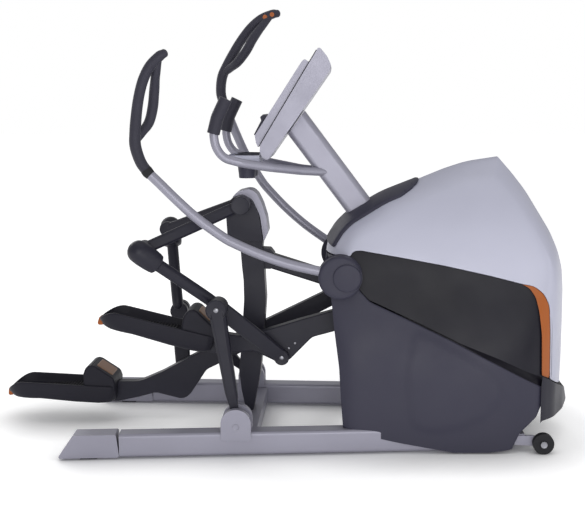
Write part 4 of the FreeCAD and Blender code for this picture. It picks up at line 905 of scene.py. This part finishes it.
for name, side in SIDES.items():
    base, mid = pivots["rocker_pivot_" + name], pivots["link_pivot_" + name]
    knee, head = pivots["knee_pivot_" + name], pivots["upper_arm_pivot_" + name]
    low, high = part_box("hanging_link_" + name)
    top = Vector(((low.x + KNUCKLE_INSET) * 1000, side * KNUCKLE, (high.z - KNUCKLE_INSET) * 1000))

    foot, neck = at(base, side * ROCKER_FOOT), at(mid, side * ROCKER_NECK)
    shape = loft([(foot.lerp(neck, reach / ROCKER_LENGTH), half, deep, cut)
                  for reach, half, deep, cut in
                  [(0, 15, 13, 3), (66, 15, 13, 3), (92, 19, 17, 5), (122, 22, 21, 8),
                   (260, 25, 24, 10), (372, 29, 22, 10), (417, 31, 19, 9)]])
    shape = joined(shape, turned_end(mid.x, mid.z, 38, side * 262, side * 302, 6))
    leg_bar("lower_leg_" + name, shape, "rocker_" + name)

    mid_at, knee_at = at(mid, side * LINK), at(knee, side * KNEE_PLATE)
    along = [top.lerp(mid_at, share) for share in (-0.01, 0.05, 0.12, 0.18, 0.215, 0.222, 0.235)]
    knuckle = sweep(along, [41, 42, 41, 39, 36.5, 34, 27], domes=(38, 0))
    elbow = Vector((mid.x + (top.x - mid.x) * ELBOW_REACH / LINK_LENGTH, side * LINK,
                    mid.z + (top.z - mid.z) * ELBOW_REACH / LINK_LENGTH))
    tube = sweep([along[3], elbow, mid_at.lerp(elbow, 0.3)], [22.5, 22.5, 22.5])
    plate = loft([(mid_at, 31, 9, 5), (mid_at.lerp(knee_at, 0.5), 31, 10, 6), (knee_at, 27, 9, 5)])
    shape = joined(knuckle, tube, plate, turned_end(mid.x, mid.z, 36, side * 222, side * 258, 5),
                   turned_end(knee.x, knee.z, 28, side * 147, side * 167),
                   turned_end(top.x, top.z, 15, side * 292, side * 330, 1))
    leg_bar("link_arm_" + name, shape, "hanging_link_" + name, soft=2)

    start, end = at(head, side * ARM_HEAD), at(top, side * ARM_TOP)
    shape = joined(loft([(start, 21, 16, 8), (start.lerp(end, 0.5), 22, 15, 8), (end, 21, 14, 8)]),
                   turned_end(head.x, head.z, 34, side * 77, side * 146, 3),
                   turned_end(top.x, top.z, 30, side * 250, side * 290, 5))
    leg_bar("rear_arm_" + name, shape, "upper_arm_" + name)

    outline = rounded_outline(
        [(-214, 166), (-130, 121), (-30, 113), (107, 113), (225, 110), (690, 92), (834, 88),
         (834, 26), (690, 27), (212, 33), (130, 36), (82, 10), (26, -20), (0, -26), (-22, -18),
         (-95, 50), (-165, 66), (-240, 88), (-292, 112), (-286, 140)],
        [30, 120, 80, 60, 90, 0, 30, 30, 0, 60, 40, 30, 18, 22, 18, 30, 120, 60, 12, 12], 14.0)
    leg_bar("knee_arm_" + name, prism([tuple(p) for p in outline], side * 95, side * 145),
            "pedal_arm_" + name, soft=6, matrix=ARM_FRAMES[name])
print("leg bars for", list(SIDES))

# %% [markdown]
# The pins that stay with the frame are turned too: the head shaft behind its two dark caps, the
# rocker axles with plugs that close the silver domes, the wheel bolts and the handle spindles.

# %% Pins that stay with the frame
head = pivots["upper_arm_pivot_right"]
shaft = turned_end(head.x, head.z, 12, -140, 140, 1)
pins, plugs = [shaft], []
for name, side in SIDES.items():
    base, hub, wheel = (pivots[word + name]
                        for word in ("rocker_pivot_", "handle_pivot_", "wheel_spin_"))
    plugs.append(turned_end(base.x, base.z, 11.9, side * 286, side * 374.5, 2))
    pins.append(turned_end(hub.x, hub.z, 14, side * 228, side * 268, 1))
    reach = abs(wheel.y) - 12
    pins.append(turned_end(wheel.x, wheel.z, 7.8, side * (reach - 30), side * (reach + 27), 1))
    pins.append(turned_end(wheel.x, wheel.z, 12, side * (reach + 25.5), side * (reach + 31), 2))
piece("frame_pins", joined(*pins), MILLIMETRES, "frame", "steel", "pivot_shafts", soft=0.4)
piece("axle_plugs", joined(*plugs), MILLIMETRES, "frame", "silver_paint")
print("pins", len(pins), "plugs", len(plugs))

# %% [markdown]
# Bolts are scattered by a second tree. It takes a small mesh whose points say where the bolts
# go, and one turned bolt; every copy is spun by its own amount about its axis, from a fixed
# seed, because no fitter leaves all the slots aligned.

# %% Bolts with Geometry Nodes
bolt_tree = Tree("bolts", [("Geometry", "Geometry", None), ("Bolt", "Object", None),
                           ("Size", "Float", 1.0), ("Seed", "Int", 7)])
shape = bolt_tree.node("GeometryNodeObjectInfo", {"Object": bolt_tree.inputs["Bolt"]})
spin = bolt_tree.node("FunctionNodeRandomValue", {"Seed": bolt_tree.inputs["Seed"]}, data_type="FLOAT")
angle = bolt_tree.maths("MULTIPLY", spin[1], 6.283)
turn = bolt_tree.node("ShaderNodeCombineXYZ", {"Y": angle})
spread = bolt_tree.node("GeometryNodeInstanceOnPoints",
                        {"Points": bolt_tree.inputs["Geometry"], "Instance": shape["Geometry"],
                         "Rotation": turn["Vector"], "Scale": bolt_tree.inputs["Size"]})
bolt_tree.end(spread["Instances"], FINISHES["steel"])
BOLT = [(0, -3), (7.2, -3), (7.5, -2.6), (7.5, 1.8), (7.0, 2.6), (6.2, 3.0), (4.0, 3.0), (3.7, 2.7),
        (3.5, 0.6), (0, 0.6)]
pattern = as_piece("bolt_pattern", *lathe(BOLT, 6 * 6), FINISHES["steel"])
stand(pattern, MILLIMETRES)


def bolts(name, spots, body, size=1.0):
    """Bolts at scene points given in row millimetres, all looking along the Y axis."""
    base = bpy.data.meshes.new(name + "_spots")
    base.from_pydata([Vector(p) / 1000 for p in spots], [], [])
    made = grow(name, base, bolt_tree, Bolt=pattern, Size=size)
    fit_to(made, body, "steel")
    print(name, len(spots), "bolts,", len(made.data.polygons), "faces")


for name, side in SIDES.items():
    knee, mid = pivots["knee_pivot_" + name], pivots["link_pivot_" + name]
    bolts("knee_bolt_" + name, [(knee.x, side * 167.5, knee.z)], "hanging_link_" + name, 1.1)
    bolts("leg_bolt_" + name, [(mid.x, side * 302.5, mid.z)], "rocker_" + name, 1.2)
    spots = [ARM_FRAMES[name] @ Vector((x, side * 145.5, z)) * 1000 for x, z in ((34, 22), (62, 34))]
    bolts("arm_screws_" + name, spots, "pedal_arm_" + name, 0.6)
bpy.data.objects.remove(pattern)

# %% [markdown]
# The floor is one sheet of white paper. It carries a painted glow of its own, more of it far
# from the machine, which hides the place where the floor ends and the white wall begins. In
# the hollows under the rails that glow is held back, which paints shade there, so that the soft shadows
# stay.

# %% Floor
ground = finish("ground", (0.86, 0.86, 0.87), 0.6, grain=40, depth=0.0005, drift=0.01, wear=0.0)
paper = Wiring(ground.node_tree)
spot = paper.add("ShaderNodeTexCoord").outputs["Object"]
far = paper.add("ShaderNodeVectorMath", {0: spot}, operation="LENGTH").outputs["Value"]
hollow = paper.add("ShaderNodeAmbientOcclusion", {"Distance": 0.26}).outputs["AO"]
# Painted glow that grows with distance; the occlusion term cuts it in the hollows as painted shade.
painted_floor_glow = paper.maths("MULTIPLY", paper.maths("POWER", hollow, 3.0),
                      paper.fit(far, 0.50, 0.62, 1.1, 2.6))
board = paper.tree.nodes["Principled BSDF"]
paper.feed(board.inputs["Emission Color"], (1, 1, 1, 1))
paper.feed(board.inputs["Emission Strength"], painted_floor_glow)
sheet = bpy.data.meshes.new("floor")
sheet.from_pydata([(-30, -20, 0), (30, -20, 0), (30, 40, 0), (-30, 40, 0)], [], [(0, 1, 2, 3)])
sheet.materials.append(ground)
floor = bpy.data.objects.new("floor", sheet)
bpy.context.scene.collection.objects.link(floor)
